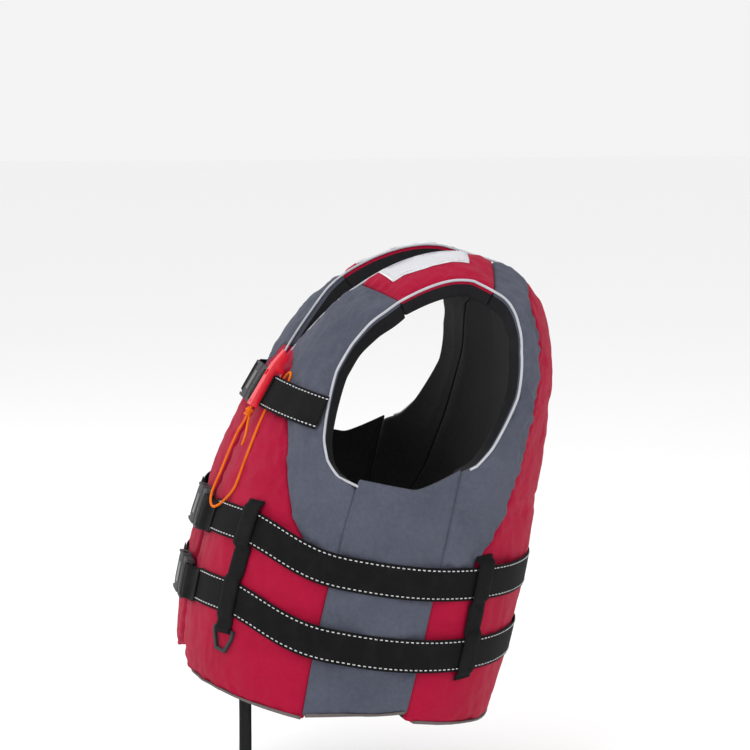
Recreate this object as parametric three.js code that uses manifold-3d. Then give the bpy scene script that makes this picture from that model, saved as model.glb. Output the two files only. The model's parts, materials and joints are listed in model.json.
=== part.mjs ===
// A buoyancy vest with a zipped front, two waist belts and a chest belt, as it sits when worn.
// Millimetres. In the garment's own frame +X is the wearer's left, -Y the front and +Z up.
// The finished garment leans back by `lean`, and its origin is midway between the shoulder straps'
// undersides, where a body or a rail holds it up.
import * as THREE from "three";
import Module from "manifold-3d";

const wasm = await Module();
wasm.setup();

// Body of the garment
const lean = THREE.MathUtils.degToRad(13);
const halfWidth = 205;
const sectionY = 10; // where the front and back halves of a section meet
const sectionPower = 2.3; // superellipse exponent: 2 is an ellipse
const shoulderTop = new THREE.Vector2(50, 25); // y and z of the straps' outer face
const chestRadius = 700;
const chestCentre = new THREE.Vector2(521, -401); // y and z of the chest arc's centre
const chestStartZ = -60;
const backOutline = [[104, 18], [144, -12], [171, -69], [184, -150], [196, -320], [198, -431], [193, -545]];
const shoulderSlope = Math.tan(THREE.MathUtils.degToRad(21));
const frontHem = 641; // measured down the front from the shoulder top
const backHem = 600; // measured down the back
const hemCorner = 55;

// Neck, armholes and seams
const neckHalf = 57;
const neckDepth = 265;
const zipEdge = 8;
const shoulderFront = 125;
const shoulderBack = 30;
const backNeck = 62;
const yokeTop = 246;
const sideSeamFront = 196;
const sideSeamBack = 201;

// Padding and cloth
const strapThick = 25;
const frontThick = 42;
const backThick = 36;
const clothThick = 1.2;
const liningThick = 1.6;
const clothGap = 0.4;
const foamEase = 1.6; // the foam is this much smaller than its pocket all round
const seamGap = 0.5;
const patchWidth = 38;

// Webbing and hardware
const beltWidth = 38;
const beltThick = 1.8;
const beltLift = 0.7;
const upperBeltZ = -335;
const lowerBeltZ = -417;
const chestBeltZ = -182;
const beltSway = [[0, 0], [33, 9], [42, 8], [50, 3], [59, -4], [69, -9], [80, -9], [98, -5], [150, 14], [180, 14]];
const keeperWidth = 25;
const frontKeeperX = 128;
const backKeeperX = 180;
const buckleWall = 4; // beside the belt, on each side
const buckleWidth = beltWidth + 2 * buckleWall;
const buckleThick = 10.4;
const buckleLift = 2.8;
const zipDepth = 12;
const zipThick = 2.4;
const zipSlot = 1.6;
const ringWire = 3.6;
const ringHeight = 27;
const whistleWidth = 16;
const whistleThick = 11;
const whistleX = 54;
const cordDiameter = 3;
const crotchWidth = 25;
const crotchX = 106;
const crotchDrop = 175;

// Colours
const finish = (color, roughness, metalness = 0) => new THREE.MeshStandardMaterial({ color, roughness, metalness });
const looks = {
  red: finish(0xb8123f, 0.75),
  grey: finish(0x5c6473, 0.75),
  black: finish(0x17171a, 0.85),
  foam: finish(0xe9e4d4, 0.9),
  reflective: finish(0xeeeef4, 0.35),
  plastic: finish(0x2b2c2f, 0.4),
  whistle: finish(0xe60a30, 0.35),
  cord: finish(0xf57a20, 0.7),
};

// ---------------------------------------------------------------- small helpers

const v3 = (x, y, z) => new THREE.Vector3(x, y, z);
const clamp = THREE.MathUtils.clamp;
const smooth = (from, to, x) => THREE.MathUtils.smoothstep(x, from, to);

// Straight-line interpolation through [place, value] pairs in rising order of place.
function through(pairs, place) {
  const next = pairs.findIndex((pair) => pair[0] >= place);
  if (next <= 0) return pairs[next === 0 ? 0 : pairs.length - 1][1];
  const [a, b] = [pairs[next - 1], pairs[next]];
  return a[1] + ((b[1] - a[1]) * (place - a[0])) / (b[0] - a[0]);
}

const evenly = (from, to, count) => Array.from({ length: count + 1 }, (_, k) => from + ((to - from) * k) / count);

function solid(geometry) {
  const flat = geometry.index ? geometry : weld(geometry);
  const vertProperties = new Float32Array(flat.attributes.position.array);
  return new wasm.Manifold(new wasm.Mesh({ numProp: 3, vertProperties, triVerts: new Uint32Array(flat.index.array) }));
}

// Shares the vertices that lie in the same place, and drops the triangles this flattens.
function weld(geometry) {
  const source = geometry.index ? geometry.toNonIndexed() : geometry;
  const place = source.attributes.position;
  const seen = new Map();
  const points = [];
  const ids = [];
  for (let k = 0; k < place.count; k++) {
    const point = [place.getX(k), place.getY(k), place.getZ(k)];
    const key = point.map((value) => Math.round(value * 1e4)).join();
    if (!seen.has(key)) {
      seen.set(key, seen.size);
      points.push(...point);
    }
    ids.push(seen.get(key));
  }
  const index = [];
  for (let k = 0; k < ids.length; k += 3) {
    const [a, b, c] = ids.slice(k, k + 3);
    if (a !== b && b !== c && c !== a) index.push(a, b, c);
  }
  const welded = new THREE.BufferGeometry();
  welded.setAttribute("position", new THREE.Float32BufferAttribute(points, 3));
  return welded.setIndex(index);
}

function geometryOf(body) {
  const { vertProperties, triVerts, numProp } = body.getMesh();
  const points = new Float32Array((vertProperties.length / numProp) * 3);
  for (let k = 0; k < points.length / 3; k++) points.set(vertProperties.subarray(k * numProp, k * numProp + 3), k * 3);
  const geometry = new THREE.BufferGeometry();
  geometry.setAttribute("position", new THREE.BufferAttribute(points, 3));
  return geometry.setIndex(new THREE.BufferAttribute(triVerts, 1));
}

function brick(x, y, z) {
  const [dx, dy, dz] = [x, y, z].map(([low, high]) => high - low);
  const geometry = weld(new THREE.BoxGeometry(dx, dy, dz).deleteAttribute("normal").deleteAttribute("uv"));
  return solid(geometry.translate((x[0] + x[1]) / 2, (y[0] + y[1]) / 2, (z[0] + z[1]) / 2));
}

// A flat plate of the given outline in x and y, between two heights.
function plate(outline, z, steps = 4) {
  const geometry = new THREE.ExtrudeGeometry(outline, { depth: z[1] - z[0], bevelEnabled: false, curveSegments: steps });
  return solid(weld(geometry).translate(0, 0, z[0]));
}

function roundedOutline(x, y, radius) {
  const shape = new THREE.Shape();
  shape.absarc(x[1] - radius, y[0] + radius, radius, -Math.PI / 2, 0);
  shape.absarc(x[1] - radius, y[1] - radius, radius, 0, Math.PI / 2);
  shape.absarc(x[0] + radius, y[1] - radius, radius, Math.PI / 2, Math.PI);
  shape.absarc(x[0] + radius, y[0] + radius, radius, Math.PI, 1.5 * Math.PI);
  return shape;
}

function node(name, body, look, parent) {
  const geometry = body.isBufferGeometry ? body : geometryOf(body);
  const mesh = new THREE.Mesh(geometry, look);
  mesh.name = name;
  parent.add(mesh);
  return mesh;
}

// ---------------------------------------------------------------- the garment's outer surface

const frontProfile = new THREE.Path();
const chestStart = Math.asin((chestStartZ - chestCentre.y) / chestRadius);
const chestTop = v3(chestCentre.x - chestRadius * Math.cos(chestStart), chestStartZ, 0);
frontProfile.moveTo(shoulderTop.x, shoulderTop.y);
frontProfile.bezierCurveTo(
  shoulderTop.x - 62,
  shoulderTop.y,
  chestTop.x + 32 * Math.sin(chestStart),
  chestTop.y + 32 * Math.cos(chestStart),
  chestTop.x,
  chestTop.y,
);
frontProfile.absarc(chestCentre.x, chestCentre.y, chestRadius, Math.PI - chestStart, Math.PI + 0.2, false);
const backProfile = new THREE.SplineCurve([shoulderTop, ...backOutline.map(([y, z]) => new THREE.Vector2(y, z))]);
const frontLength = frontProfile.getLength();
const backLength = backProfile.getLength();

// The centre profile at a distance from the shoulder top: negative down the front, positive down the back.
function profileAt(along) {
  const [curve, length] = along < 0 ? [frontProfile, frontLength] : [backProfile, backLength];
  return curve.getPointAt(clamp(Math.abs(along) / length, 0, 1));
}

// The distance along the front (side -1) or back (side 1) profile at which it reaches height z.
function alongAt(side, z) {
  let [low, high] = [0, side < 0 ? frontLength : backLength];
  for (let k = 0; k < 30; k++) {
    const middle = (low + high) / 2;
    if (profileAt(side * middle).y > z) low = middle;
    else high = middle;
  }
  return side * low;
}

const bulge = (x) => Math.max(0, 1 - Math.abs(x / halfWidth) ** sectionPower) ** (1 / sectionPower);

function surfacePoint(x, along) {
  const centre = profileAt(along);
  const drop = shoulderSlope * Math.max(0, Math.abs(x) - neckHalf) * (1 - smooth(60, 300, Math.abs(along)));
  return v3(x, sectionY + (centre.x - sectionY) * bulge(x), centre.y - drop);
}

function surfaceAt(x, along) {
  const across = surfacePoint(x + 0.5, along).sub(surfacePoint(x - 0.5, along));
  const onwards = surfacePoint(x, along + 1).sub(surfacePoint(x, along - 1));
  return { point: surfacePoint(x, along), normal: across.cross(onwards).normalize() };
}

// The same surface by direction around a level section: 0 is the front centre, 90 degrees the left side.
function ringPoint(angle, z) {
  const [sine, cosine] = [Math.sin(angle), Math.cos(angle)];
  const centreY = profileAt(alongAt(cosine > 0 ? -1 : 1, z)).x;
  const reach = Math.abs(centreY - sectionY);
  const power = 2 / sectionPower;
  const x = halfWidth * Math.sign(sine) * Math.abs(sine) ** power;
  return v3(x, sectionY - reach * Math.sign(cosine) * Math.abs(cosine) ** power, z);
}

function ringAt(angle, z) {
  const around = ringPoint(angle + 0.01, z).sub(ringPoint(angle - 0.01, z));
  const upwards = ringPoint(angle, z + 1).sub(ringPoint(angle, z - 1));
  return { point: ringPoint(angle, z), normal: around.cross(upwards).normalize() };
}

const frontAngle = (x) => Math.sign(x) * Math.asin(Math.abs(x / halfWidth) ** (sectionPower / 2));
const offSurface = (place, height) => place.point.clone().addScaledVector(place.normal, height);

// A frame on the front whose x runs around the garment, y up it and z out of it.
function surfaceFrame(x, z, height) {
  const place = ringAt(frontAngle(x), z);
  const up = v3(0, 0, 1).addScaledVector(place.normal, -place.normal.z).normalize();
  const across = up.clone().cross(place.normal);
  return new THREE.Matrix4().makeBasis(across, up, place.normal).setPosition(offSurface(place, height));
}

// ---------------------------------------------------------------- closed solids from a grid

// Rows of { outer, inner } corners become one closed body over the cells that `keep` accepts.
function shell(grid, keep = () => true) {
  const columns = grid[0].length;
  const points = grid.flatMap((row) => row.flatMap(({ outer, inner }) => [...outer.toArray(), ...inner.toArray()]));
  const id = (i, j, side) => 2 * (j * columns + i) + side;
  const cell = (i, j) => i >= 0 && j >= 0 && i < columns - 1 && j < grid.length - 1 && keep(i, j);
  const index = [];
  const quad = (a, b, c, d) => index.push(a, b, c, a, c, d);
  const wall = (a, b) => quad(id(...a, 1), id(...b, 1), id(...b, 0), id(...a, 0));
  for (let j = 0; j < grid.length - 1; j++) {
    for (let i = 0; i < columns - 1; i++) {
      if (!cell(i, j)) continue;
      const corners = [[i, j], [i + 1, j], [i + 1, j + 1], [i, j + 1]];
      const [a, b, c, d] = corners;
      quad(...[a, b, c, d].map((corner) => id(...corner, 0)));
      quad(...[a, d, c, b].map((corner) => id(...corner, 1)));
      const neighbours = [[i, j - 1], [i + 1, j], [i, j + 1], [i - 1, j]];
      neighbours.forEach((other, k) => {
        if (!cell(...other)) wall(corners[k], corners[(k + 1) % 4]);
      });
    }
  }
  const geometry = new THREE.BufferGeometry();
  geometry.setAttribute("position", new THREE.Float32BufferAttribute(points, 3));
  geometry.setIndex(index);
  return solid(weld(geometry));
}

// One layer of a padded panel, between two depths below the outer face. Its free edges are drawn in.
function layer(panel, outer, inner, inset, keep = () => true) {
  const columns = panel[0].length;
  const cell = (i, j) => Number(i >= 0 && j >= 0 && i < columns - 1 && j < panel.length - 1 && keep(i, j));
  const towards = (from, i, j) => {
    const to = panel[j]?.[i];
    return to && to !== from ? to.point.clone().sub(from.point).setLength(inset) : v3(0, 0, 0);
  };
  const grid = panel.map((row, j) =>
    row.map((place, i) => {
      const across = cell(i, j) + cell(i, j - 1) - cell(i - 1, j) - cell(i - 1, j - 1);
      const onwards = cell(i, j) + cell(i - 1, j) - cell(i, j - 1) - cell(i - 1, j - 1);
      const point = place.point.clone();
      point.add(towards(place, i + Math.sign(across), j)).add(towards(place, i, j + Math.sign(onwards)));
      const at = { point, normal: place.normal };
      return { outer: offSurface(at, -outer(place.thick)), inner: offSurface(at, -inner(place.thick)) };
    }),
  );
  return shell(grid, keep);
}

const coverLayer = (panel, keep) => layer(panel, () => 0, () => clothThick, seamGap / 2, keep);
const liningTop = clothThick + 0.3;

// The lining is a tray: an inner face with a wall up to the cover all round, and it holds the foam.
function liningLayer(panel, keep) {
  const block = layer(panel, () => liningTop, (thick) => thick, seamGap / 2, keep);
  const room = layer(panel, () => -5, (thick) => thick - liningThick, seamGap / 2 + liningThick, keep);
  return block.subtract(room);
}

function foamLayer(panel, keep) {
  const inset = seamGap / 2 + liningThick + foamEase;
  return layer(panel, () => liningTop + clothGap, (thick) => thick - liningThick - clothGap, inset, keep);
}

// ---------------------------------------------------------------- padded panels

const garment = new THREE.Group();

// A grid of surface places: rows run along the profile and columns across it.
function panelGrid(rows, columnsAt, thickAt, shift = () => 0) {
  return rows.map((along) =>
    columnsAt(along).map((x, column) => ({ ...surfaceAt(x, along + shift(x, along)), thick: thickAt(along, column) })),
  );
}

const armholeFront = [
  [shoulderFront, 133], [150, 137], [204, 137], [246, 142], [280, 152], [331, 166],
  [354, 176], [368, 186], [373, sideSeamFront],
];
const armholeBack = [
  [shoulderBack, 139], [61, 147], [92, 159], [133, 168], [205, 174], [240, 181],
  [280, 189], [305, 196], [313, sideSeamBack],
];
const yokeSeam = [[yokeTop, 34], [273, 63], [305, 98], [347, 128], [401, 154], [447, 178], [478, 188]];
const backSeam = [[shoulderBack, 95], [62, 100], [116, 122], [208, 142], [286, 153], [355, 167], [401, 182], [440, 192]];
const yokeBottom = 478;
const backYokeBottom = 440;
const backYokeTop = 85;

function neckEdge(down) {
  if (down > frontHem - hemCorner) {
    const into = down - (frontHem - hemCorner);
    return zipEdge + hemCorner - Math.sqrt(Math.max(0, hemCorner ** 2 - into ** 2));
  }
  const open = clamp((neckDepth - down) / (neckDepth - shoulderFront), 0, 1);
  return zipEdge + (neckHalf - zipEdge) * open ** 0.85;
}

// Padding thins towards the armholes and the zip. Each share is of the full thickness, column by column.
const frontShares = [0.8, 1, 1, 1, 0.95, 0.8, 0.55];
const backShares = [0.6, 0.85, 1, 1, 1, 1, 1, 1, 1, 0.85, 0.6];

function frontThickAt(along, column) {
  const full = strapThick + (frontThick - strapThick) * smooth(90, 240, -along);
  return full * (1 - (1 - frontShares[column]) * smooth(shoulderFront, 220, -along));
}

function backThickAt(along, column) {
  const full = strapThick + (backThick - strapThick) * smooth(shoulderBack, 150, along);
  return full * (1 - (1 - backShares[column]) * smooth(shoulderBack, 120, along));
}

function frontColumns(along) {
  const down = -along;
  const [edge, armhole] = [neckEdge(down), through(armholeFront, down)];
  const seam = down < yokeTop ? edge + 0.3 * (armhole - edge) : through(yokeSeam, down);
  const red = [0, 0.3, 0.58, 0.82, 1].map((part) => edge + part * (seam - edge));
  return [...red, (seam + armhole) / 2, armhole];
}

const frontRows = [
  ...[0, 0.04, 0.17, 0.45, 1].map((part) => frontHem - part * hemCorner),
  ...evenly(frontHem - hemCorner, 373, 4).slice(1),
  368, 354, 331, 305, 280, yokeTop, 204, 165, shoulderFront,
].map((down) => -down);

// The yoke's top seam slants: it is further forward at the neck than at the armhole.
const yokeSlant = (x, along) => -0.4 * (95 - x) * (1 - smooth(shoulderFront, 204, -along));

function mirrored(body) {
  return body.mirror([1, 0, 0]);
}

// Builds a left-hand solid and adds it once to each side of the garment.
function pair(name, body, look, parent = garment) {
  node(name + "_left", body, look, parent);
  node(name + "_right", mirrored(body), look, parent);
}

const frontPanel = panelGrid(frontRows, frontColumns, frontThickAt, yokeSlant);
const rowIndex = (rows, along) => rows.reduce((best, row, k) => (Math.abs(row - along) < Math.abs(rows[best] - along) ? k : best), 0);
const seamColumn = 4;
const yokeFirst = rowIndex(frontRows, -yokeBottom);
const yokeAcross = rowIndex(frontRows, -yokeTop);
const inYoke = (i, j) => j >= yokeAcross || (j >= yokeFirst && i >= seamColumn);

pair("front_lining", liningLayer(frontPanel), looks.black);
pair("front_foam", foamLayer(frontPanel), looks.foam);
pair("front_cover", coverLayer(frontPanel, (i, j) => !inYoke(i, j)), looks.red);
pair("front_yoke", coverLayer(frontPanel, inYoke), looks.grey);

// Shoulder straps: short padded bridges from the front panels over to the back panel.
const strapOuter = [[-shoulderFront, 133], [-30, 128], [0, 128], [shoulderBack, 139]];
const strapRows = [...evenly(-shoulderFront, 0, 5), shoulderBack / 2, shoulderBack];
const strapSlant = (x, along) => -0.4 * (95 - x) * smooth(60, shoulderFront, -along);

// The strap's columns run from the front panel's to the back panel's, so that the seams meet.
function strapColumns(along) {
  const front = frontColumns(-shoulderFront);
  const [outer, start] = [through(strapOuter, along), front[seamColumn + 2]];
  const back = [neckHalf, backSeam[0][1], (backSeam[0][1] + armholeBack[0][1]) / 2, armholeBack[0][1]];
  const part = (along + shoulderFront) / (shoulderBack + shoulderFront);
  const middle = [seamColumn, seamColumn + 1].map((column, k) => front[column] + (back[k + 1] - front[column]) * part);
  const narrowing = (outer - neckHalf) / (start + (back[3] - start) * part - neckHalf);
  return [neckHalf, ...middle.map((x) => neckHalf + (x - neckHalf) * narrowing), outer];
}

const strapPanel = panelGrid(strapRows, strapColumns, () => strapThick, strapSlant);

pair("shoulder_lining", liningLayer(strapPanel), looks.black);
pair("shoulder_foam", foamLayer(strapPanel), looks.foam);
pair("shoulder_cover", coverLayer(strapPanel), looks.red);

// The reflective patch lies along the strap, over its cover.
const patchRows = [-105, ...strapRows.filter((along) => along > -105 && along < 0), -6];
const patchColumns = (along) => {
  const [low, middleLow, middleHigh] = strapColumns(along);
  const start = low + 5;
  return [start, middleLow, middleHigh, start + patchWidth].sort((a, b) => a - b);
};
const patchPanel = panelGrid(patchRows, patchColumns, () => strapThick, strapSlant);
pair("reflective_patch", layer(patchPanel, () => -0.9, () => -0.4, 0), looks.reflective);

// Back panel: one padded piece with a stub for each shoulder strap.
function backColumns(along) {
  const armhole = through(armholeBack, along);
  const seam = through(backSeam, along);
  const half = [neckHalf, seam, (seam + armhole) / 2, armhole];
  return [...half.map((x) => -x).reverse(), -neckHalf / 2, 0, neckHalf / 2, ...half];
}

const backRows = [
  shoulderBack, 45, backNeck, backYokeTop, 116, 150, 185, 220, 250, 280, 305, 313, 355, 401, backYokeBottom,
  ...evenly(backYokeBottom, backHem, 3).slice(1),
];
const neckDip = (x, along) => 12 * Math.max(0, 1 - (x / neckHalf) ** 2) * (1 - smooth(backNeck, 116, along));
const backPanel = panelGrid(backRows, backColumns, backThickAt, neckDip);
const neckRow = backRows.indexOf(backNeck);
const yokeRow = backRows.indexOf(backYokeTop);
const backYokeRow = backRows.indexOf(backYokeBottom);
const inBack = (i, j) => j >= neckRow || i < 3 || i > 6;
const grey = (i, j, cells) => j < backYokeRow && (j < yokeRow ? cells : i >= 8);
const inGreyLeft = (i, j) => inBack(i, j) && grey(i, j, i > 6);
const inGreyRight = (i, j) => inGreyLeft(9 - i, j);

node("back_lining", liningLayer(backPanel, inBack), looks.black, garment);
node("back_foam", foamLayer(backPanel, inBack), looks.foam, garment);
const inRedBack = (i, j) => inBack(i, j) && !inGreyLeft(i, j) && !inGreyRight(i, j);
node("back_cover", coverLayer(backPanel, inRedBack), looks.red, garment);
node("back_yoke_left", coverLayer(backPanel, inGreyLeft), looks.grey, garment);
node("back_yoke_right", coverLayer(backPanel, inGreyRight), looks.grey, garment);

// Side panels: unpadded cloth under the arms, sewn between the front and back panels.
const seamFront = frontAngle(sideSeamFront);
const seamBack = Math.PI - frontAngle(sideSeamBack);
const sideTop = [[seamFront, -241], [Math.PI / 2, -240], [seamBack, -208]];
const sideBottom = [[seamFront, -512], [seamBack, -488]];
const sideRoom = 0.0045; // radians left free at each seam
const sideGrid = evenly(0, 1, 8).map((part) =>
  evenly(seamFront + sideRoom, seamBack - sideRoom, 5).map((angle) => {
    const [top, bottom] = [through(sideTop, angle), through(sideBottom, angle)];
    const place = ringAt(angle, bottom + part * (top - bottom));
    return { outer: offSurface(place, -3), inner: offSurface(place, -6) };
  }),
);
pair("side_panel", shell(sideGrid), looks.grey);

// ---------------------------------------------------------------- webbing

// Webbing of even thickness whose middle follows `path`, one run of places for each edge of its width.
function webbing(edges, thick) {
  const grid = edges.map((edge, j) => {
    const other = edges[(j + 1) % edges.length];
    return edge.map((point, i) => {
      const along = edge[Math.min(i + 1, edge.length - 1)].clone().sub(edge[Math.max(i - 1, 0)]);
      const widthwise = other[i].clone().sub(point).multiplyScalar(j === edges.length - 1 ? -1 : 1);
      const normal = along.cross(widthwise).setLength(thick / 2);
      return { outer: point.clone().add(normal), inner: point.clone().sub(normal) };
    });
  });
  return shell(grid);
}

// The waist belts rise and fall on their way round: [degrees from the front centre, rise] in beltSway.
const swayCurve = new THREE.SplineCurve(beltSway.map(([degrees, rise]) => new THREE.Vector2(degrees, rise)));
const swayTable = swayCurve.getPoints(80).map(({ x, y }) => [x, y]);
const roundTheBack = (angle) => Math.PI - Math.abs(Math.PI - Math.abs(angle));
const waistRise = (angle) => through(swayTable, THREE.MathUtils.radToDeg(roundTheBack(angle)));
const beltRest = beltLift + beltThick / 2;
const barX = 30.5;
const barRadius = 2;
const barHeight = buckleLift + buckleThick / 2 - 1;
const turn = barRadius * Math.SQRT2 + 0.3 + beltThick / 2;
const sewnGap = beltThick + 0.4;

// Rows of points for a belt that follows the girth. The path is a list of [angle, height off the surface].
function girthEdges(path, z, rise) {
  return [-1, 1].map((side) =>
    path.map(([angle, height]) => offSurface(ringAt(angle, z + rise(angle) + (side * beltWidth) / 2), height)),
  );
}

// Each front belt is sewn back on itself around the buckle's end bar. Near the buckle its path is a list
// of [x, height] in the buckle's plane, and from there it follows the surface to endX.
function frontBelt(z, endX, rise) {
  const over = [[56, 2.9], [47, 4.6], [40, 9.4], [36.5, barHeight + turn - 0.5]];
  const wrap = evenly(90, 270, 6).map((degrees) => {
    const angle = THREE.MathUtils.degToRad(degrees);
    return [barX + turn * Math.cos(angle), barHeight + turn * Math.sin(angle)];
  });
  const under = [[37, barHeight - turn - 0.3], [47, 2.2], [56, 0.6]];
  const place = surfaceFrame(0, z, 0);
  const plane = [-1, 1].map((side) =>
    [...over, ...wrap, ...under].map(([x, height]) => v3(x, (side * beltWidth) / 2, height).applyMatrix4(place)),
  );
  const first = [[66, 5 + sewnGap]].map(([x, height]) => [frontAngle(x), height]);
  const resting = evenly(frontAngle(112), frontAngle(endX), Math.round((endX - 60) / 14)).map((angle) => [angle, beltRest]);
  const onwards = [[66, 5], [80, 4.8], [96, 3.2]].map(([x, height]) => [frontAngle(x), height]);
  const [start, rest] = [girthEdges(first, z, rise), girthEdges([...onwards, ...resting], z, rise)];
  return webbing(plane.map((edge, k) => [...start[k], ...edge, ...rest[k]]), beltThick);
}

pair("upper_belt_front", frontBelt(upperBeltZ, sideSeamFront - 0.6, waistRise), looks.black);
pair("lower_belt_front", frontBelt(lowerBeltZ, sideSeamFront - 0.6, waistRise), looks.black);
pair("chest_belt", frontBelt(chestBeltZ, 158, () => 0), looks.black);

const backAngles = evenly(seamFront + 0.004, 2 * Math.PI - seamFront - 0.004, 46);
const backPath = backAngles.map((angle) => [angle, beltRest]);
for (const [name, z] of [["upper", upperBeltZ], ["lower", lowerBeltZ]]) {
  node(name + "_belt_back", webbing(girthEdges(backPath, z, waistRise), beltThick), looks.black, garment);
}

// A keeper runs down the garment and holds both waist belts. Its path is a list of [z, height].
function keeper(path, x, side) {
  const angle = side < 0 ? frontAngle(x) : Math.PI - frontAngle(x);
  const centre = path.map(([z, height]) => ({ place: ringAt(angle, z), height }));
  const edges = [-1, 1].map((edge) =>
    centre.map(({ place, height }) => {
      const sideways = v3(place.normal.y, -place.normal.x, 0).setLength((-edge * keeperWidth) / 2);
      return offSurface(place, height).add(sideways);
    }),
  );
  return webbing(edges.map((edge) => edge.reverse()), beltThick);
}

const keeperRest = beltRest + 0.4;
const overBelt = beltRest + beltThick + 0.5;

function keeperPath(upper, lower, end) {
  const half = beltWidth / 2 + 4;
  const steps = [[half + 5, keeperRest], [half - 3, overBelt], [0, overBelt], [3 - half, overBelt], [-half - 5, keeperRest]];
  const crossing = (z) => steps.map(([up, height]) => [z + up, height]);
  return [...crossing(upper), ...crossing(lower), ...end];
}

// The front keeper ends in a loop around the ring's bar, and turns up behind itself.
const frontRise = waistRise(frontAngle(frontKeeperX));
const ringZ = lowerBeltZ + frontRise - beltWidth / 2 - 18;
const loopRadius = ringWire * Math.SQRT1_2 + 0.3 + beltThick / 2;
const loopHeight = keeperRest + 2.4;
const loopEnd = evenly(60, -150, 6).map((degrees) => {
  const angle = THREE.MathUtils.degToRad(degrees);
  return [ringZ + loopRadius * Math.sin(angle), loopHeight + loopRadius * Math.cos(angle)];
});
const frontKeeperPath = keeperPath(upperBeltZ + frontRise, lowerBeltZ + frontRise, loopEnd);
pair("front_keeper", keeper(frontKeeperPath, frontKeeperX, -1), looks.black);
const backRise = waistRise(Math.PI - frontAngle(backKeeperX));
const backKeeperPath = keeperPath(upperBeltZ + backRise, lowerBeltZ + backRise, []);
pair("back_keeper", keeper(backKeeperPath, backKeeperX, 1), looks.black);

// ---------------------------------------------------------------- hardware on the surface

function surfaceGroup(x, z, height) {
  const group = new THREE.Group();
  group.applyMatrix4(surfaceFrame(x, z, height));
  garment.add(group);
  return group;
}

// D-ring: a bar through the keeper's loop and a rounded bow below it.
function ring() {
  const hole = keeperWidth + 1.4;
  const outer = roundedOutline([-hole / 2 - ringWire, hole / 2 + ringWire], [-ringHeight + ringWire / 2, ringWire / 2], 1.6);
  const bow = new THREE.Shape();
  bow.moveTo(-hole / 2 - ringWire, ringWire / 2);
  bow.lineTo(-hole / 2 - ringWire, -7);
  bow.lineTo(-hole / 4 - ringWire / 2, -ringHeight + ringWire / 2);
  bow.lineTo(hole / 4 + ringWire / 2, -ringHeight + ringWire / 2);
  bow.lineTo(hole / 2 + ringWire, -7);
  bow.lineTo(hole / 2 + ringWire, ringWire / 2);
  const inside = new THREE.Shape();
  inside.moveTo(-hole / 2, -ringWire / 2);
  inside.lineTo(-hole / 2, -6.2);
  inside.lineTo(-hole / 4 + 0.4, -ringHeight + 1.5 * ringWire);
  inside.lineTo(hole / 4 - 0.4, -ringHeight + 1.5 * ringWire);
  inside.lineTo(hole / 2, -6.2);
  inside.lineTo(hole / 2, -ringWire / 2);
  const half = ringWire / 2;
  return plate(bow, [-half, half]).intersect(plate(outer, [-half, half])).subtract(plate(inside, [-5, 5]));
}

for (const [side, hand] of [[1, "left"], [-1, "right"]]) {
  node("d_ring_" + hand, ring(), looks.plastic, surfaceGroup(side * frontKeeperX, ringZ, loopHeight));
}

// Side-release buckle. Local x runs along the belt, y across its width and z out of the garment.
const bodyEnd = barX + barRadius;
const slotX = [22, barX - barRadius];
const halfBuckle = buckleWidth / 2;
const slotY = beltWidth / 2 + 0.8;
const wallThick = 2;
const armRoot = 6;
const armTip = -16;
const armHeight = [3.2, 7.8];
const latchX = [-17, -8];

function buckleMale() {
  const outline = roundedOutline([armRoot, bodyEnd], [-halfBuckle, halfBuckle], 4);
  const body = plate(outline, [0.6, buckleThick - 0.6]);
  const slot = brick([slotX[0], slotX[1]], [-slotY, slotY], [-1, buckleThick + 1]);
  const barRoom = [[-1, barHeight - buckleLift - barRadius], [barHeight - buckleLift + barRadius, buckleThick + 1]];
  const reliefs = barRoom.map((z) => brick([slotX[1] - 0.1, bodyEnd + 1], [-slotY, slotY], z));
  const tongue = brick([armTip + 2, armRoot + 1], [-3.5, 3.5], armHeight);
  return reliefs.reduce((rest, relief) => rest.subtract(relief), body.subtract(slot)).add(tongue);
}

function buckleFemale() {
  const mouth = armRoot - 0.5;
  const outline = roundedOutline([-bodyEnd, mouth], [-halfBuckle, halfBuckle], 5);
  const body = plate(outline, [0, buckleThick]);
  const cavity = brick([-19.5, mouth + 1], [-halfBuckle + buckleWall, halfBuckle - buckleWall], [wallThick, buckleThick - wallThick]);
  const windows = brick(latchX, [-halfBuckle - 1, halfBuckle + 1], [wallThick, buckleThick - wallThick]);
  const slot = brick([-slotX[1], -slotX[0]], [-slotY, slotY], [-1, buckleThick + 1]);
  const barRoom = [[-1, barHeight - buckleLift - barRadius], [barHeight - buckleLift + barRadius, buckleThick + 1]];
  const reliefs = barRoom.map((z) => brick([-bodyEnd - 1, -slotX[1] + 0.1], [-slotY, slotY], z));
  return [cavity, windows, slot, ...reliefs].reduce((rest, tool) => rest.subtract(tool), body);
}

// One sprung arm, drawn about its own root. `side` is 1 for the upper arm and -1 for the lower one.
const armY = 13.5;
function buckleArm(side) {
  const shape = new THREE.Shape();
  shape.moveTo(-0.4, -2);
  shape.lineTo(-0.4, 2);
  shape.lineTo(latchX[1] - armRoot - 0.8, 3.2);
  shape.lineTo(latchX[1] - armRoot - 0.8, halfBuckle - armY - 1);
  shape.lineTo(armTip - armRoot + 3, halfBuckle - armY - 1.8);
  shape.lineTo(armTip - armRoot, 2);
  shape.lineTo(armTip - armRoot, -0.5);
  shape.lineTo(latchX[1] - armRoot, -1);
  const arm = plate(shape, armHeight);
  return side > 0 ? arm : arm.mirror([0, 1, 0]);
}

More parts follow.
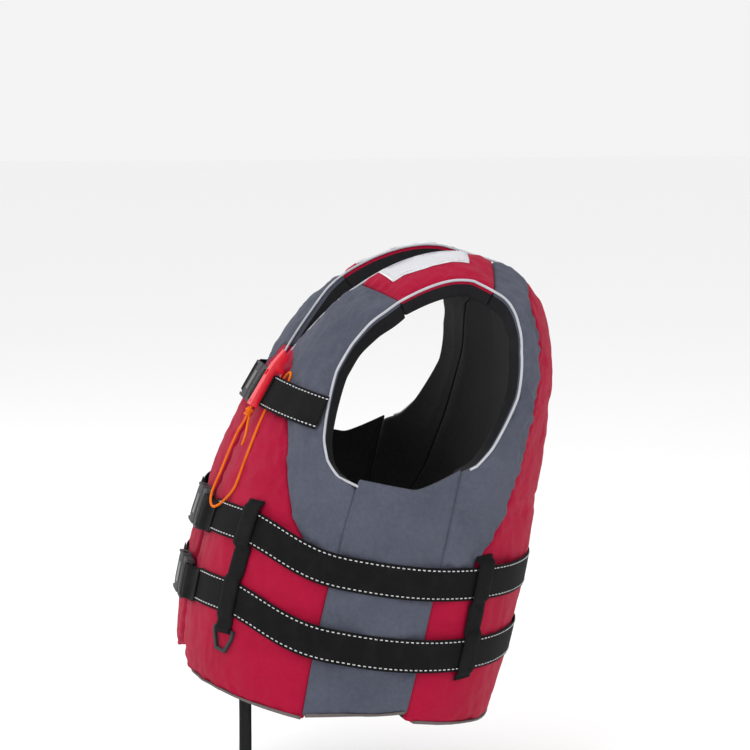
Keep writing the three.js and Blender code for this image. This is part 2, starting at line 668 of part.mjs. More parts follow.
for (const [name, z] of [["chest", chestBeltZ], ["upper", upperBeltZ], ["lower", lowerBeltZ]]) {
  const group = surfaceGroup(0, z, buckleLift);
  node(name + "_buckle_male", buckleMale(), looks.plastic, group);
  node(name + "_buckle_female", buckleFemale(), looks.plastic, group);
  for (const [side, hand] of [[1, "top"], [-1, "bottom"]]) {
    const arm = node(name + "_buckle_arm_" + hand, buckleArm(side), looks.plastic, group);
    arm.position.set(armRoot, side * armY, 0);
  }
}

// ---------------------------------------------------------------- zip

const zipTop = -neckDepth - 2;
const zipBottom = -frontHem + hemCorner;

// A tape and its row of teeth, as one strip in the valley between the two front panels.
const zipGrid = evenly(zipBottom, zipTop, 12).map((along) =>
  [zipSlot / 2, zipEdge - 0.1].map((x) => {
    const place = surfaceAt(0, along);
    place.point.x = x;
    return { outer: offSurface(place, -zipDepth), inner: offSurface(place, -zipDepth - zipThick) };
  }),
);
pair("zip_half", shell(zipGrid), looks.black);

const sliderLength = 12;
const sliderWidth = 9;
const sliderPlate = 1.2;
const sliderGap = 0.35;

// The slider turns about the chest arc's centre, so its group sits there and its body hangs out at the zip.
const sliderAlong = zipTop - sliderLength / 2 - 1;
const sliderGroup = surfaceGroup(0, profileAt(sliderAlong).y, -zipDepth);

function zipSlider() {
  const [half, width] = [sliderLength / 2, sliderWidth / 2];
  const low = -zipThick - sliderGap;
  const upper = plate(roundedOutline([-width, width], [-half, half], 2), [sliderGap, sliderGap + sliderPlate]);
  const lower = plate(roundedOutline([-width, width], [-half, half], 2), [low - sliderPlate, low]);
  const post = brick([-0.4, 0.4], [half - 4, half - 1], [low - 0.1, sliderGap + 0.1]);
  const high = sliderGap + sliderPlate;
  const bridge = brick([-1, 1], [-2.5, 2.5], [high - 0.1, high + 3.1]);
  const eye = brick([-2, 2], [-1.4, 1.4], [high + 0.3, high + 2.5]);
  return upper.add(lower).add(post).add(bridge.subtract(eye));
}

function zipPull() {
  const outline = roundedOutline([-3, 3], [-30, 0.6], 1.2);
  const tab = plate(outline, [-0.6, 0.6], 2);
  const window = brick([-1.3, 1.3], [-3.6, -0.6], [-2, 2]);
  return tab.subtract(window);
}

node("zip_slider", zipSlider(), looks.plastic, sliderGroup);
const pull = node("zip_pull", zipPull(), looks.plastic, sliderGroup);
pull.position.set(0, 0, sliderGap + sliderPlate + 1.4);

// ---------------------------------------------------------------- whistle and its cord

const whistleGroup = surfaceGroup(whistleX, chestBeltZ, 0);
const whistleLow = 8.9;
const whistleBottom = -24;
const bendY = 22;

// Side view of the whistle: a straight barrel, a mouthpiece bent towards the chest, and a clip behind the belt.
function whistleBody() {
  const top = whistleLow + whistleThick;
  const shape = new THREE.Shape();
  shape.moveTo(whistleBottom, whistleLow);
  shape.lineTo(bendY - 3, whistleLow);
  shape.lineTo(bendY - 2, 2.5);
  shape.lineTo(-12, 2.5);
  shape.lineTo(-14, 1.8);
  shape.lineTo(-12, 0.9);
  shape.lineTo(bendY + 1, 0.9);
  shape.lineTo(bendY + 4, whistleLow - 3);
  shape.lineTo(bendY + 14, 3.2);
  shape.lineTo(bendY + 20, 12);
  shape.lineTo(bendY + 3, top - 0.8);
  shape.lineTo(bendY - 3, top);
  shape.lineTo(whistleBottom, top);
  const half = whistleWidth / 2;
  const body = plate(shape, [-half, half]);
  const slot = brick([bendY - 9, bendY - 4], [top - 3.5, top + 1], [-half + 2.5, half - 2.5]);
  const eye = brick([whistleBottom + 3, whistleBottom + 6.5], [whistleLow - 1, top + 1], [-1.8, 1.8]);
  const turned = new THREE.Matrix4().makeBasis(v3(0, 1, 0), v3(0, 0, 1), v3(1, 0, 0));
  return body.subtract(slot).subtract(eye).transform(turned.elements);
}

node("whistle", whistleBody(), looks.whistle, whistleGroup);

// The cord's route on the front: [x, z, height off the surface]. It leaves the whistle's lower end, hangs in
// a loop, passes up behind the chest belt and is sewn in behind the belt's upper edge.
const cordRoute = [
  [49, -222, 10.5], [45, -236, 7.5], [41, -250, 5], [39, -266, 3.8], [39, -282, 3.8], [41, -297, 5.6],
  [45, -310, 9], [51, -319, 11], [58, -322, 11.4], [65, -318, 11], [69, -308, 8.5], [71, -295, 5.6],
  [72, -281, 3.8], [73, -266, 3], [74, -251, 2.6], [74, -236, 2.3], [73, -221, 2.1], [72, -206, 2],
  [71, -191, 2], [70, -177, 2], [69, -165, 2.2], [71, -158, 2.6], [75, -155, 2.8], [79, -158, 2.4],
  [80.5, -165, 2], [80, -172, 2],
];

function tubeAlong(points, diameter, sides) {
  const circle = new THREE.Shape(
    evenly(0, 2 * Math.PI, sides).slice(0, -1).map((a) => new THREE.Vector2(Math.cos(a), Math.sin(a)).multiplyScalar(diameter / 2)),
  );
  const curve = new THREE.CatmullRomCurve3(points);
  const steps = Math.round(curve.getLength() / (2.4 * diameter));
  return weld(new THREE.ExtrudeGeometry(circle, { steps, extrudePath: curve, bevelEnabled: false }));
}

const cordStart = [-0.4, -8].map((y) => v3(0, whistleBottom + y, whistleLow + whistleThick / 2));
const cordPoints = [
  ...cordStart.map((point) => point.applyMatrix4(whistleGroup.matrix)),
  ...cordRoute.map(([x, z, height]) => offSurface(ringAt(frontAngle(x), z), height)),
];
node("whistle_cord", solid(tubeAlong(cordPoints, cordDiameter, 8)), looks.cord, garment);

// ---------------------------------------------------------------- crotch strap

// It is sewn inside the left front hem and hangs plumb, so its group undoes the garment's lean. It keeps
// the front panel's turn about the vertical, so that it lies flat on the lining where it is sewn.
const crotchTop = -478;
const crotchSeat = 2.6; // the panel curves in beside the strap, and touches its edges
const crotchPlace = ringAt(frontAngle(crotchX), crotchTop);
const crotchTurn = Math.atan2(crotchPlace.normal.x, -crotchPlace.normal.y);
const crotchGroup = new THREE.Group();
crotchGroup.position.copy(offSurface(crotchPlace, -frontThick - beltThick / 2 - crotchSeat));
crotchGroup.rotation.set(lean, 0, 0);
const crotchHang = new THREE.Group();
crotchHang.rotation.z = crotchTurn;
crotchGroup.add(crotchHang);
garment.add(crotchGroup);

const crotchBar = 2.4;
const sewnDown = 24;
const crotchLoop = crotchBar * Math.SQRT2 + 0.3 + beltThick / 2;

// The strap's lower end is folded around the buckle's bar and sewn back on itself, behind.
function crotchStrap() {
  const barZ = -crotchDrop;
  const [start, end] = [barZ + crotchLoop + 4, barZ + 34];
  const path = [[0, 0], [0, -sewnDown], [0, start]];
  const wrap = evenly(0, -180, 6).map((degrees) => {
    const angle = THREE.MathUtils.degToRad(degrees);
    return [crotchLoop - crotchLoop * Math.cos(angle), barZ + crotchLoop * Math.sin(angle)];
  });
  const back = [[crotchLoop * 2, barZ + 3], [sewnGap, barZ + 12], [sewnGap, end]];
  const half = crotchWidth / 2;
  const edges = [-half, half].map((x) => [...path, ...wrap, ...back].map(([y, z]) => v3(x, y, z)));
  return webbing(edges.reverse(), beltThick);
}

function crotchBuckle() {
  const half = crotchWidth / 2 + 4;
  const slotHalf = crotchWidth / 2 + 0.8;
  const outline = roundedOutline([-half, half], [-38, crotchBar], 4);
  const thick = [-4.5, 4.5];
  const body = plate(outline, thick);
  const slot = brick([-slotHalf, slotHalf], [-crotchBar - 5.5, -crotchBar], [-9, 9]);
  const reliefs = [[-9, -crotchBar], [crotchBar, 9]].map((z) => brick([-slotHalf, slotHalf], [-crotchBar - 1, 9], z));
  const mouth = brick([-half + 4, half - 4], [-50, -12], [thick[0] + wallThick, thick[1] - wallThick]);
  const windows = brick([-half - 1, half + 1], [-28, -19], [thick[0] + wallThick, thick[1] - wallThick]);
  const made = [slot, mouth, windows, ...reliefs].reduce((rest, tool) => rest.subtract(tool), body);
  return made.transform(new THREE.Matrix4().makeBasis(v3(1, 0, 0), v3(0, 0, 1), v3(0, -1, 0)).elements);
}

node("crotch_strap", crotchStrap(), looks.black, crotchHang);
const crotchHalf = node("crotch_buckle_female", crotchBuckle(), looks.plastic, crotchHang);
crotchHalf.position.set(0, crotchLoop, -crotchDrop);

garment.rotation.x = -lean;
garment.position.copy(v3(0, -shoulderTop.x, 0).applyEuler(garment.rotation));
const vest = new THREE.Group();
vest.add(garment);
vest.updateMatrixWorld(true);
export default vest;
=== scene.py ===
# %% [markdown]
# # A buoyancy vest, dressed in Blender
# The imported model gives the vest's size, its bodies and its joints. This script covers that frame with
# padded cloth, webbing, buckles and trim. Everything is in metres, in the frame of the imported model.

# %% The frame
import json
import math

import bpy
import numpy as np
from mathutils import Matrix, Vector, noise
from mathutils.bvhtree import BVHTree

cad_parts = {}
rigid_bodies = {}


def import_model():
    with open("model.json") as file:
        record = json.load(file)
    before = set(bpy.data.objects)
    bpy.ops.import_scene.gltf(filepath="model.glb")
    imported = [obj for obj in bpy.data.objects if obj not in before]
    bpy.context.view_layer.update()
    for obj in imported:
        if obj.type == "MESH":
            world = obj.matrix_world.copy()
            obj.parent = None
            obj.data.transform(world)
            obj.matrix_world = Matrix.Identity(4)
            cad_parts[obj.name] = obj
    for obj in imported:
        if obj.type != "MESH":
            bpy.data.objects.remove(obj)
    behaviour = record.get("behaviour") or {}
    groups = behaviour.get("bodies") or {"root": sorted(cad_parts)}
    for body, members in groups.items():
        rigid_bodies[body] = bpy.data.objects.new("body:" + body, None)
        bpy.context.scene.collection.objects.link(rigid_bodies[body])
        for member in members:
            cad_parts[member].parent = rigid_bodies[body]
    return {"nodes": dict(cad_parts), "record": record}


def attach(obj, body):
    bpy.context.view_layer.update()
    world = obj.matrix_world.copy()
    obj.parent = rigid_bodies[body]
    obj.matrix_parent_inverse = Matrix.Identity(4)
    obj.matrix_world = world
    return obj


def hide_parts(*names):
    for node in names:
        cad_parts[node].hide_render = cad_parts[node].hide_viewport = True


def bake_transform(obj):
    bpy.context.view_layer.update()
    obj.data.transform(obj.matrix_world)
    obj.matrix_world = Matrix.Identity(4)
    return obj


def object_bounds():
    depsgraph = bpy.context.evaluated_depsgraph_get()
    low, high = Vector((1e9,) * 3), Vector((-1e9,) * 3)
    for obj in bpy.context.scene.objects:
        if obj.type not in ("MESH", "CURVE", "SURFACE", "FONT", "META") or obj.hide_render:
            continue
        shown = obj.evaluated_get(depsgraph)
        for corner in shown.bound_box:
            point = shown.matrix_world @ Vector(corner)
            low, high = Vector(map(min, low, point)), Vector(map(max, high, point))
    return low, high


bpy.ops.object.select_all(action="SELECT")
bpy.ops.object.delete()
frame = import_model()
nodes = frame["nodes"]
cad_low, cad_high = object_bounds()
scene = bpy.context.scene
HANDS = {"left": 1, "right": -1}
print("CAD box", [round(c, 3) for c in (*cad_low, *cad_high)])

# %% [markdown]
# ## Camera
# A long lens from far off keeps the vest's proportions true. The view is from the wearer's left and a
# little in front and above. `TARGET` is the point in the middle of the picture.

# %% Camera
LEAN = math.radians(13)
VIEW_TURN, VIEW_TILT = math.radians(78), math.radians(8)
VIEW_DISTANCE = 2.5
TARGET_RIGHT, TARGET_UP = -0.0455, -0.1361


def leaned(y, z):
    """The garment's own y and z, in metres from its shoulder line, turned to lean back."""
    return (y * math.cos(LEAN) + z * math.sin(LEAN), -y * math.sin(LEAN) + z * math.cos(LEAN))


backwards = Vector((
    math.sin(VIEW_TURN) * math.cos(VIEW_TILT),
    -math.cos(VIEW_TURN) * math.cos(VIEW_TILT),
    math.sin(VIEW_TILT),
))
turned = (-backwards).to_track_quat("-Z", "Y")
aim = Vector((0, *leaned(-0.05, 0))) + turned @ Vector((TARGET_RIGHT, TARGET_UP, VIEW_DISTANCE))
bpy.ops.object.camera_add(location=aim, rotation=turned.to_euler())
camera = bpy.context.object
camera.data.lens = 102
camera.data.clip_end = 30
scene.camera = camera
print("camera at", [round(c, 3) for c in camera.location])

# %% [markdown]
# ## The vest's shape
# The vest is a soft tube that a few numbers describe. A centre line runs down the front and down the
# back from the top of the shoulder. Level sections are superellipses between the two. Seams, belts and
# trim are then lines on that surface, in millimetres: `x` across it and `along` it from the shoulder,
# negative down the front, or by angle and height around it.

# %% Centre lines
HALF_WIDTH, SECTION_Y, SECTION_POWER = 205, 10, 2.3
SHOULDER_TOP = (50, 25)
CHEST_RADIUS, CHEST_CENTRE, CHEST_START_Z = 700, (521, -401), -60
BACK_OUTLINE = [(104, 18), (144, -12), (171, -69), (184, -150), (196, -320), (198, -431), (193, -545)]
SHOULDER_SLOPE = math.tan(math.radians(21))
NECK_HALF, NECK_DEPTH, ZIP_EDGE = 57, 265, 8


def ease(low, high, value):
    part = min(max((value - low) / (high - low), 0), 1)
    return part * part * (3 - 2 * part)


def catmull(points, count):
    """A smooth line through the points, with count steps between each two."""
    points = [Vector(p) for p in points]
    line = []
    for k in range(len(points) - 1):
        a, b, c, d = (points[min(max(k + n, 0), len(points) - 1)] for n in (-1, 0, 1, 2))
        for step in range(count):
            t = step / count
            v, w = (c - a) / 2, (d - b) / 2
            line.append(b + v * t + (3 * (c - b) - 2 * v - w) * t**2 + (2 * (b - c) + v + w) * t**3)
    return line + [points[-1]]


def front_line():
    start = math.asin((CHEST_START_Z - CHEST_CENTRE[1]) / CHEST_RADIUS)
    top = Vector((CHEST_CENTRE[0] - CHEST_RADIUS * math.cos(start), CHEST_START_Z))
    a, d = Vector(SHOULDER_TOP), top
    b, c = a + Vector((-62, 0)), top + 32 * Vector((math.sin(start), math.cos(start)))
    steps = [k / 60 for k in range(60)]
    line = [a * (1 - t) ** 3 + b * 3 * t * (1 - t) ** 2 + c * 3 * t * t * (1 - t) + d * t**3 for t in steps]
    for angle in np.linspace(math.pi - start, math.pi + 0.2, 200):
        line.append(Vector(CHEST_CENTRE) + CHEST_RADIUS * Vector((math.cos(angle), math.sin(angle))))
    return np.array([tuple(p) for p in line])


LINES = {-1: front_line(), 1: np.array([tuple(p) for p in catmull([SHOULDER_TOP, *BACK_OUTLINE], 40)])}
LENGTHS = {s: np.append(0, np.cumsum(np.hypot(*np.diff(line, axis=0).T))) for s, line in LINES.items()}


def centre_at(along):
    side = -1 if along < 0 else 1
    return [float(np.interp(abs(along), LENGTHS[side], LINES[side][:, k])) for k in (0, 1)]


def centre_reach(side, z):
    return float(np.interp(-z, -LINES[side][:, 1], LINES[side][:, 0]))


# %% [markdown]
# ## Places on the surface
# Every seam, belt and trim line is a run of places on that tube. `panel_place` takes a place across and
# along a panel, and `girth_place` takes an angle and a height. Both give the point and the normal there.

# %% Points on the surface
def to_frame(x, y, z):
    """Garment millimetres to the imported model's metres."""
    y, z = leaned((y - SHOULDER_TOP[0]) / 1000, z / 1000)
    return Vector((x / 1000, y, z))


def bulge(x):
    return max(0, 1 - abs(x / HALF_WIDTH) ** SECTION_POWER) ** (1 / SECTION_POWER)


def on_panel(x, along):
    y, z = centre_at(along)
    drop = SHOULDER_SLOPE * max(0, abs(x) - NECK_HALF) * (1 - ease(60, 300, abs(along)))
    return to_frame(x, SECTION_Y + (y - SECTION_Y) * bulge(x), z - drop)


def on_girth(angle, z):
    sine, cosine = math.sin(angle), math.cos(angle)
    reach = abs(centre_reach(-1 if cosine > 0 else 1, z) - SECTION_Y)
    power = 2 / SECTION_POWER
    x = math.copysign(HALF_WIDTH * abs(sine) ** power, sine)
    return to_frame(x, SECTION_Y - math.copysign(reach * abs(cosine) ** power, cosine), z)


def panel_place(x, along):
    across = on_panel(x + 0.5, along) - on_panel(x - 0.5, along)
    onwards = on_panel(x, along + 1) - on_panel(x, along - 1)
    return on_panel(x, along), across.cross(onwards).normalized()


def girth_place(angle, z):
    around = on_girth(angle + 0.01, z) - on_girth(angle - 0.01, z)
    upwards = on_girth(angle, z + 1) - on_girth(angle, z - 1)
    return on_girth(angle, z), around.cross(upwards).normalized()


def front_angle(x):
    return math.copysign(math.asin(min(abs(x / HALF_WIDTH), 1) ** (SECTION_POWER / 2)), x)


def through(table, value):
    places, results = zip(*table)
    return float(np.interp(value, places, results))


print("front line", round(LENGTHS[-1][-1]), "mm, back line", round(LENGTHS[1][-1]), "mm")

# %% [markdown]
# ## Helpers for pieces
# Each new piece ends as a mesh with its place in its vertices. `finish_piece` gives it its materials and its
# body. Cloth that crosses the side seam or the shoulder is given a `soft_join` body instead: it is baked in
# place and follows no body.


def new_piece(name, points, faces, marks=None, uvs=None):
    mesh = bpy.data.meshes.new(name)
    mesh.from_pydata([tuple(p) for p in points], [], faces)
    if marks:
        mesh.polygons.foreach_set("material_index", marks)
    if uvs:
        layer = mesh.uv_layers.new(name="cloth").data
        for loop in mesh.loops:
            layer[loop.index].uv = uvs[loop.vertex_index]
    mesh.polygons.foreach_set("use_smooth", [True] * len(mesh.polygons))
    mesh.validate()
    piece = bpy.data.objects.new(name, mesh)
    scene.collection.objects.link(piece)
    return piece


def only(piece):
    bpy.ops.object.select_all(action="DESELECT")
    piece.select_set(True)
    bpy.context.view_layer.objects.active = piece


def apply_modifiers(piece):
    only(piece)
    for modifier in list(piece.modifiers):
        bpy.ops.object.modifier_apply(modifier=modifier.name)


def mirror_copy(piece, name):
    twin = piece.copy()
    twin.data = piece.data.copy()
    twin.name = twin.data.name = name
    twin.data.transform(Matrix.Diagonal((-1, 1, 1, 1)))
    twin.data.flip_normals()
    scene.collection.objects.link(twin)
    return twin


def finish_piece(piece, body, slot, *materials):
    for material in materials:
        piece.data.materials.append(material)
    if body.startswith("soft_join"):
        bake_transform(piece)
    else:
        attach(piece, body)
    return piece


# %% [markdown]
# ## Cloth finishes
# The shell is a coated plain weave. Its look comes from three scales: broad, faint shifts of colour where
# the cloth has been handled, soft creases, and the weave itself. One node group makes all three, and each
# cloth material sets how strong they are.

# %% The woven cloth group
def add_socket(group, name, kind, default=None, output=False):
    socket = group.interface.new_socket(name=name, in_out="OUTPUT" if output else "INPUT", socket_type=kind)
    if default is not None:
        socket.default_value = default
    return socket


class Graph:
    """Short names for adding nodes to a tree and joining them."""

    def __init__(self, tree):
        self.tree = tree

    def add(self, kind, values=None, **settings):
        made = self.tree.nodes.new(kind)
        for name, value in settings.items():
            setattr(made, name, value)
        for socket, value in (values or {}).items():
            if isinstance(value, bpy.types.NodeSocket):
                self.tree.links.new(value, made.inputs[socket])
            else:
                made.inputs[socket].default_value = value
        return made

    def math(self, operation, a, b=0.0):
        return self.add("ShaderNodeMath", {0: a, 1: b}, operation=operation).outputs[0]

    def noise(self, place, scale, detail=2.0):
        made = self.add("ShaderNodeTexNoise", {"Vector": place, "Scale": scale, "Detail": detail})
        return made.outputs["Fac"]

    def mix(self, part, low, high):
        made = self.add("ShaderNodeMix", {"Factor": part}, data_type="RGBA")
        for socket, value in ((made.inputs[6], low), (made.inputs[7], high)):
            if isinstance(value, bpy.types.NodeSocket):
                self.tree.links.new(value, socket)
            else:
                socket.default_value = value
        return made.outputs[2]


def new_group(name, colors, values):
    """A node group with these inputs, which gives a color, a roughness and a bump height."""
    group = bpy.data.node_groups.new(name, "ShaderNodeTree")
    for socket, default in colors.items():
        add_socket(group, socket, "NodeSocketColor", default)
    for socket, default in values.items():
        add_socket(group, socket, "NodeSocketFloat", default)
    add_socket(group, "Color", "NodeSocketColor", output=True)
    for socket in ("Roughness", "Height"):
        add_socket(group, socket, "NodeSocketFloat", output=True)
    return group


def cloth_group():
    group = new_group("woven_cloth", {"Color": (0.5, 0.5, 0.5, 1), "Faded": (0.6, 0.6, 0.6, 1)},
                      {"Thread": 0.0007, "Crease": 0.5})
    g = Graph(group)
    given = g.add("NodeGroupInput").outputs
    place = g.add("ShaderNodeTexCoord").outputs["Object"]
    weave_place = g.add("ShaderNodeUVMap", uv_map="cloth").outputs["UV"]
    parts = g.add("ShaderNodeSeparateXYZ", {0: weave_place}).outputs
    turn = g.math("DIVIDE", 2 * math.pi, given["Thread"])
    warp = g.math("SINE", g.math("MULTIPLY", parts[0], turn))
    weft = g.math("SINE", g.math("MULTIPLY", parts[1], turn))
    weave = g.math("MULTIPLY", warp, weft)
    handled = g.noise(place, 9.0, 3.0)
    mottle = g.noise(place, 240.0, 1.0)
    crease = g.math("ADD", g.math("MULTIPLY", g.noise(place, 34.0, 4.0), 0.4), g.noise(place, 13.0, 3.0))
    tone = g.math("ADD", g.math("MULTIPLY", handled, 0.7), g.math("MULTIPLY", mottle, 0.3))
    part = g.add("ShaderNodeMapRange", {"Value": tone, "From Min": 0.35, "From Max": 0.65}).outputs[0]
    color = g.mix(part, given["Color"], given["Faded"])
    rough = g.math("ADD", g.math("MULTIPLY", weave, 0.04), g.math("MULTIPLY", handled, 0.1))
    folds = g.math("MULTIPLY", crease, given["Crease"])
    height = g.math("ADD", folds, g.math("MULTIPLY", weave, 0.05))
    g.add("NodeGroupOutput", {"Color": color, "Roughness": g.math("ADD", rough, 0.62), "Height": height})
    return group


CLOTH = cloth_group()


def shaded(name, build, **principled):
    """A material whose principled shader is fed by build(graph), which returns {socket: output}."""
    material = bpy.data.materials.new(name)
    material.use_nodes = True
    tree = material.node_tree
    shader = tree.nodes["Principled BSDF"]
    for socket, value in principled.items():
        shader.inputs[socket.replace("_", " ")].default_value = value
    g = Graph(tree)
    for socket, output in build(g).items():
        tree.links.new(output, shader.inputs[socket])
    return material


def from_group(name, group, inputs, depth, strength, **principled):
    """A material whose color, roughness and bump all come from one group with these inputs."""
    def build(g):
        made = g.add("ShaderNodeGroup", node_tree=group)
        for socket, value in inputs.items():
            made.inputs[socket].default_value = value
        height = made.outputs["Height"]
        bump = g.add("ShaderNodeBump", {"Height": height, "Distance": depth, "Strength": strength})
        return {"Base Color": made.outputs["Color"], "Roughness": made.outputs["Roughness"],
                "Normal": bump.outputs[0]}

    return shaded(name, build, **principled)


def cloth(name, color, faded, crease=0.5, thread=0.0007):
    inputs = {"Color": color, "Faded": faded, "Thread": thread, "Crease": crease}
    return from_group(name, CLOTH, inputs, 0.003, 0.7, Sheen_Weight=0.03, Sheen_Roughness=0.4,
                      Specular_IOR_Level=0.13)


red_shell = cloth("red_shell_cloth", (0.34, 0.0020, 0.028, 1), (0.41, 0.0035, 0.038, 1), crease=0.7)
grey_shell = cloth("grey_shell_cloth", (0.070, 0.078, 0.108, 1), (0.098, 0.106, 0.142, 1), crease=1.0)
lining_cloth = cloth("black_lining_mesh", (0.006, 0.006, 0.007, 1), (0.014, 0.014, 0.016, 1), thread=0.0022)
foam_block = cloth("foam_block", (0.74, 0.70, 0.58, 1), (0.80, 0.77, 0.66, 1), crease=0.2)
binding_cloth = cloth("hem_binding", (0.12, 0.10, 0.10, 1), (0.17, 0.14, 0.14, 1), thread=0.001)
print("cloth finishes ready")

# %% [markdown]
# ## Webbing, thread and piping finishes
# Webbing has ribs across it from its thick weft, so its pattern follows the strap: `v` of its map runs
# along the strap and `u` across it. Thread and piping are finer versions of the same idea.

# %% Webbing and trim finishes
def webbing_group():
    group = new_group("ribbed_webbing", {"Color": (0.1, 0.1, 0.1, 1), "Worn": (0.2, 0.2, 0.2, 1)},
                      {"Rib": 0.0016})
    g = Graph(group)
    given = g.add("NodeGroupInput").outputs
    place = g.add("ShaderNodeUVMap", uv_map="cloth").outputs["UV"]
    parts = g.add("ShaderNodeSeparateXYZ", {0: place}).outputs
    turn = g.math("DIVIDE", 2 * math.pi, given["Rib"])
    along = g.math("SINE", g.math("MULTIPLY", parts[1], turn))
    across = g.math("SINE", g.math("MULTIPLY", parts[0], g.math("DIVIDE", turn, 1.4)))
    twill = g.math("MULTIPLY", along, across)
    dust = g.noise(g.add("ShaderNodeTexCoord").outputs["Object"], 60.0, 5.0)
    part = g.add("ShaderNodeMapRange", {"Value": dust, "From Min": 0.45, "From Max": 0.75}).outputs[0]
    ribs = g.math("ADD", g.math("MULTIPLY", along, 0.5), g.math("MULTIPLY", twill, 0.5))
    g.add("NodeGroupOutput", {"Color": g.mix(part, given["Color"], given["Worn"]),
                              "Roughness": g.math("ADD", g.math("MULTIPLY", dust, 0.2), 0.66),
                              "Height": g.math("ADD", ribs, g.math("MULTIPLY", dust, 0.5))})
    return group


WEBBING = webbing_group()


def webbing_finish(name, color, worn, rib=0.0016):
    inputs = {"Color": color, "Worn": worn, "Rib": rib}
    return from_group(name, WEBBING, inputs, 0.0004, 0.8, Specular_IOR_Level=0.12)


black_webbing = webbing_finish("black_webbing", (0.0045, 0.0045, 0.005, 1), (0.009, 0.009, 0.010, 1))
white_thread = webbing_finish("white_thread", (0.86, 0.86, 0.87, 1), (0.80, 0.80, 0.81, 1), rib=0.0008)
silver_piping = webbing_finish("silver_piping", (0.52, 0.53, 0.57, 1), (0.62, 0.63, 0.67, 1), rib=0.001)
orange_cord = webbing_finish("orange_braid", (0.90, 0.20, 0.012, 1), (0.80, 0.13, 0.01, 1), rib=0.0019)


def reflective_finish():
    def build(g):
        place = g.add("ShaderNodeUVMap", uv_map="cloth").outputs["UV"]
        cells = g.add("ShaderNodeTexVoronoi", {"Vector": place, "Scale": 380.0, "Randomness": 0.15},
                      feature="DISTANCE_TO_EDGE").outputs["Distance"]
        edge = g.add("ShaderNodeMapRange", {"Value": cells, "From Max": 0.12}).outputs[0]
        bump = g.add("ShaderNodeBump", {"Height": edge, "Distance": 0.0002, "Strength": 0.5})
        scuffs = g.noise(g.add("ShaderNodeTexCoord").outputs["Object"], 45.0, 6.0)
        rough = g.math("ADD", g.math("MULTIPLY", scuffs, 0.3), 0.22)
        return {"Base Color": g.mix(edge, (0.46, 0.46, 0.49, 1), (0.66, 0.66, 0.69, 1)), "Roughness": rough,
                "Normal": bump.outputs[0]}

    return shaded("reflective_tape", build, Metallic=0.25, Specular_IOR_Level=0.6)


def moulded_group():
    group = new_group("moulded_plastic", {"Color": (0.1, 0.1, 0.1, 1), "Scuffed": (0.2, 0.2, 0.2, 1)},
                      {"Smoothest": 0.2})
    g = Graph(group)
    given = g.add("NodeGroupInput").outputs
    place = g.add("ShaderNodeTexCoord").outputs["Object"]
    fine, broad = g.noise(place, 900.0, 2.0), g.noise(place, 70.0, 5.0)
    scuff = g.add("ShaderNodeMapRange", {"Value": broad, "From Min": 0.5, "From Max": 0.8}).outputs[0]
    g.add("NodeGroupOutput", {"Color": g.mix(scuff, given["Color"], given["Scuffed"]),
                              "Roughness": g.math("ADD", g.math("MULTIPLY", broad, 0.18), given["Smoothest"]),
                              "Height": fine})
    return group


MOULDING = moulded_group()


def moulded_finish(name, color, scuffed, smoothest):
    inputs = {"Color": color, "Scuffed": scuffed, "Smoothest": smoothest}
    return from_group(name, MOULDING, inputs, 0.0001, 0.3, Specular_IOR_Level=0.5)


reflective_tape = reflective_finish()
black_plastic = moulded_finish("black_acetal", (0.010, 0.010, 0.011, 1), (0.03, 0.03, 0.032, 1), 0.22)
whistle_plastic = moulded_finish("whistle_red", (0.50, 0.003, 0.010, 1), (0.62, 0.012, 0.02, 1), 0.18)
print("trim finishes ready")

# %% [markdown]
# ## Seam lines
# These are the lines that the panels are cut and sewn along: the neck and zip edge, the armhole, and the
# seam between the red and the grey cloth. Each is a table of distance along the panel and place across it.

# %% Seam lines
FRONT_HEM, BACK_HEM, HEM_CORNER = 641, 600, 55
SHOULDER_FRONT, SHOULDER_BACK, YOKE_TOP, BACK_NECK = -125, 30, 246, 62
ARMHOLE_FRONT = [(125, 133), (150, 137), (204, 137), (246, 142), (280, 152), (331, 166), (354, 176), (368, 186),
                 (373, 196)]
ARMHOLE_BACK = [(30, 139), (61, 147), (92, 159), (133, 168), (205, 174), (240, 181), (280, 189), (305, 196),
                (313, 201)]
FRONT_SEAM = [(246, 34), (273, 63), (305, 98), (347, 128), (401, 154), (447, 178), (474, 187), (480, 196)]
BACK_SEAM = [(62, 57), (80, 57), (90, 111), (116, 122), (208, 142), (286, 153), (355, 167), (401, 182),
             (436, 191), (442, 201)]
STRAP_OUTER = [(-125, 133), (-30, 128), (0, 128), (30, 139)]
STRAP_THICK, FRONT_THICK, BACK_THICK = 25, 42, 36
SEAM_SINK = 0.0035


def neck_edge(down):
    corner = down - (FRONT_HEM - HEM_CORNER)
    if corner > 0:
        return ZIP_EDGE + HEM_CORNER - math.sqrt(max(0, HEM_CORNER**2 - corner**2))
    open_part = min(max((NECK_DEPTH - down) / (NECK_DEPTH + SHOULDER_FRONT), 0), 1)
    return ZIP_EDGE + (NECK_HALF - ZIP_EDGE) * open_part**0.85


def yoke_inner(down):
    return through(FRONT_SEAM, down) if down > YOKE_TOP else neck_edge(down)


def front_thick(x, along):
    low, high = neck_edge(-along), through(ARMHOLE_FRONT, -along)
    share = through([(0, 0.8), (0.2, 1), (0.62, 0.97), (0.8, 0.8), (1, 0.55)], (abs(x) - low) / (high - low))
    full = STRAP_THICK + (FRONT_THICK - STRAP_THICK) * ease(90, 240, -along)
    return full * (1 - (1 - share) * ease(125, 220, -along))


def back_thick(x, along):
    share = through([(0, 1), (0.75, 1), (0.88, 0.85), (1, 0.6)], abs(x) / through(ARMHOLE_BACK, along))
    full = STRAP_THICK + (BACK_THICK - STRAP_THICK) * ease(30, 150, along)
    return full * (1 - (1 - share) * ease(30, 120, along))


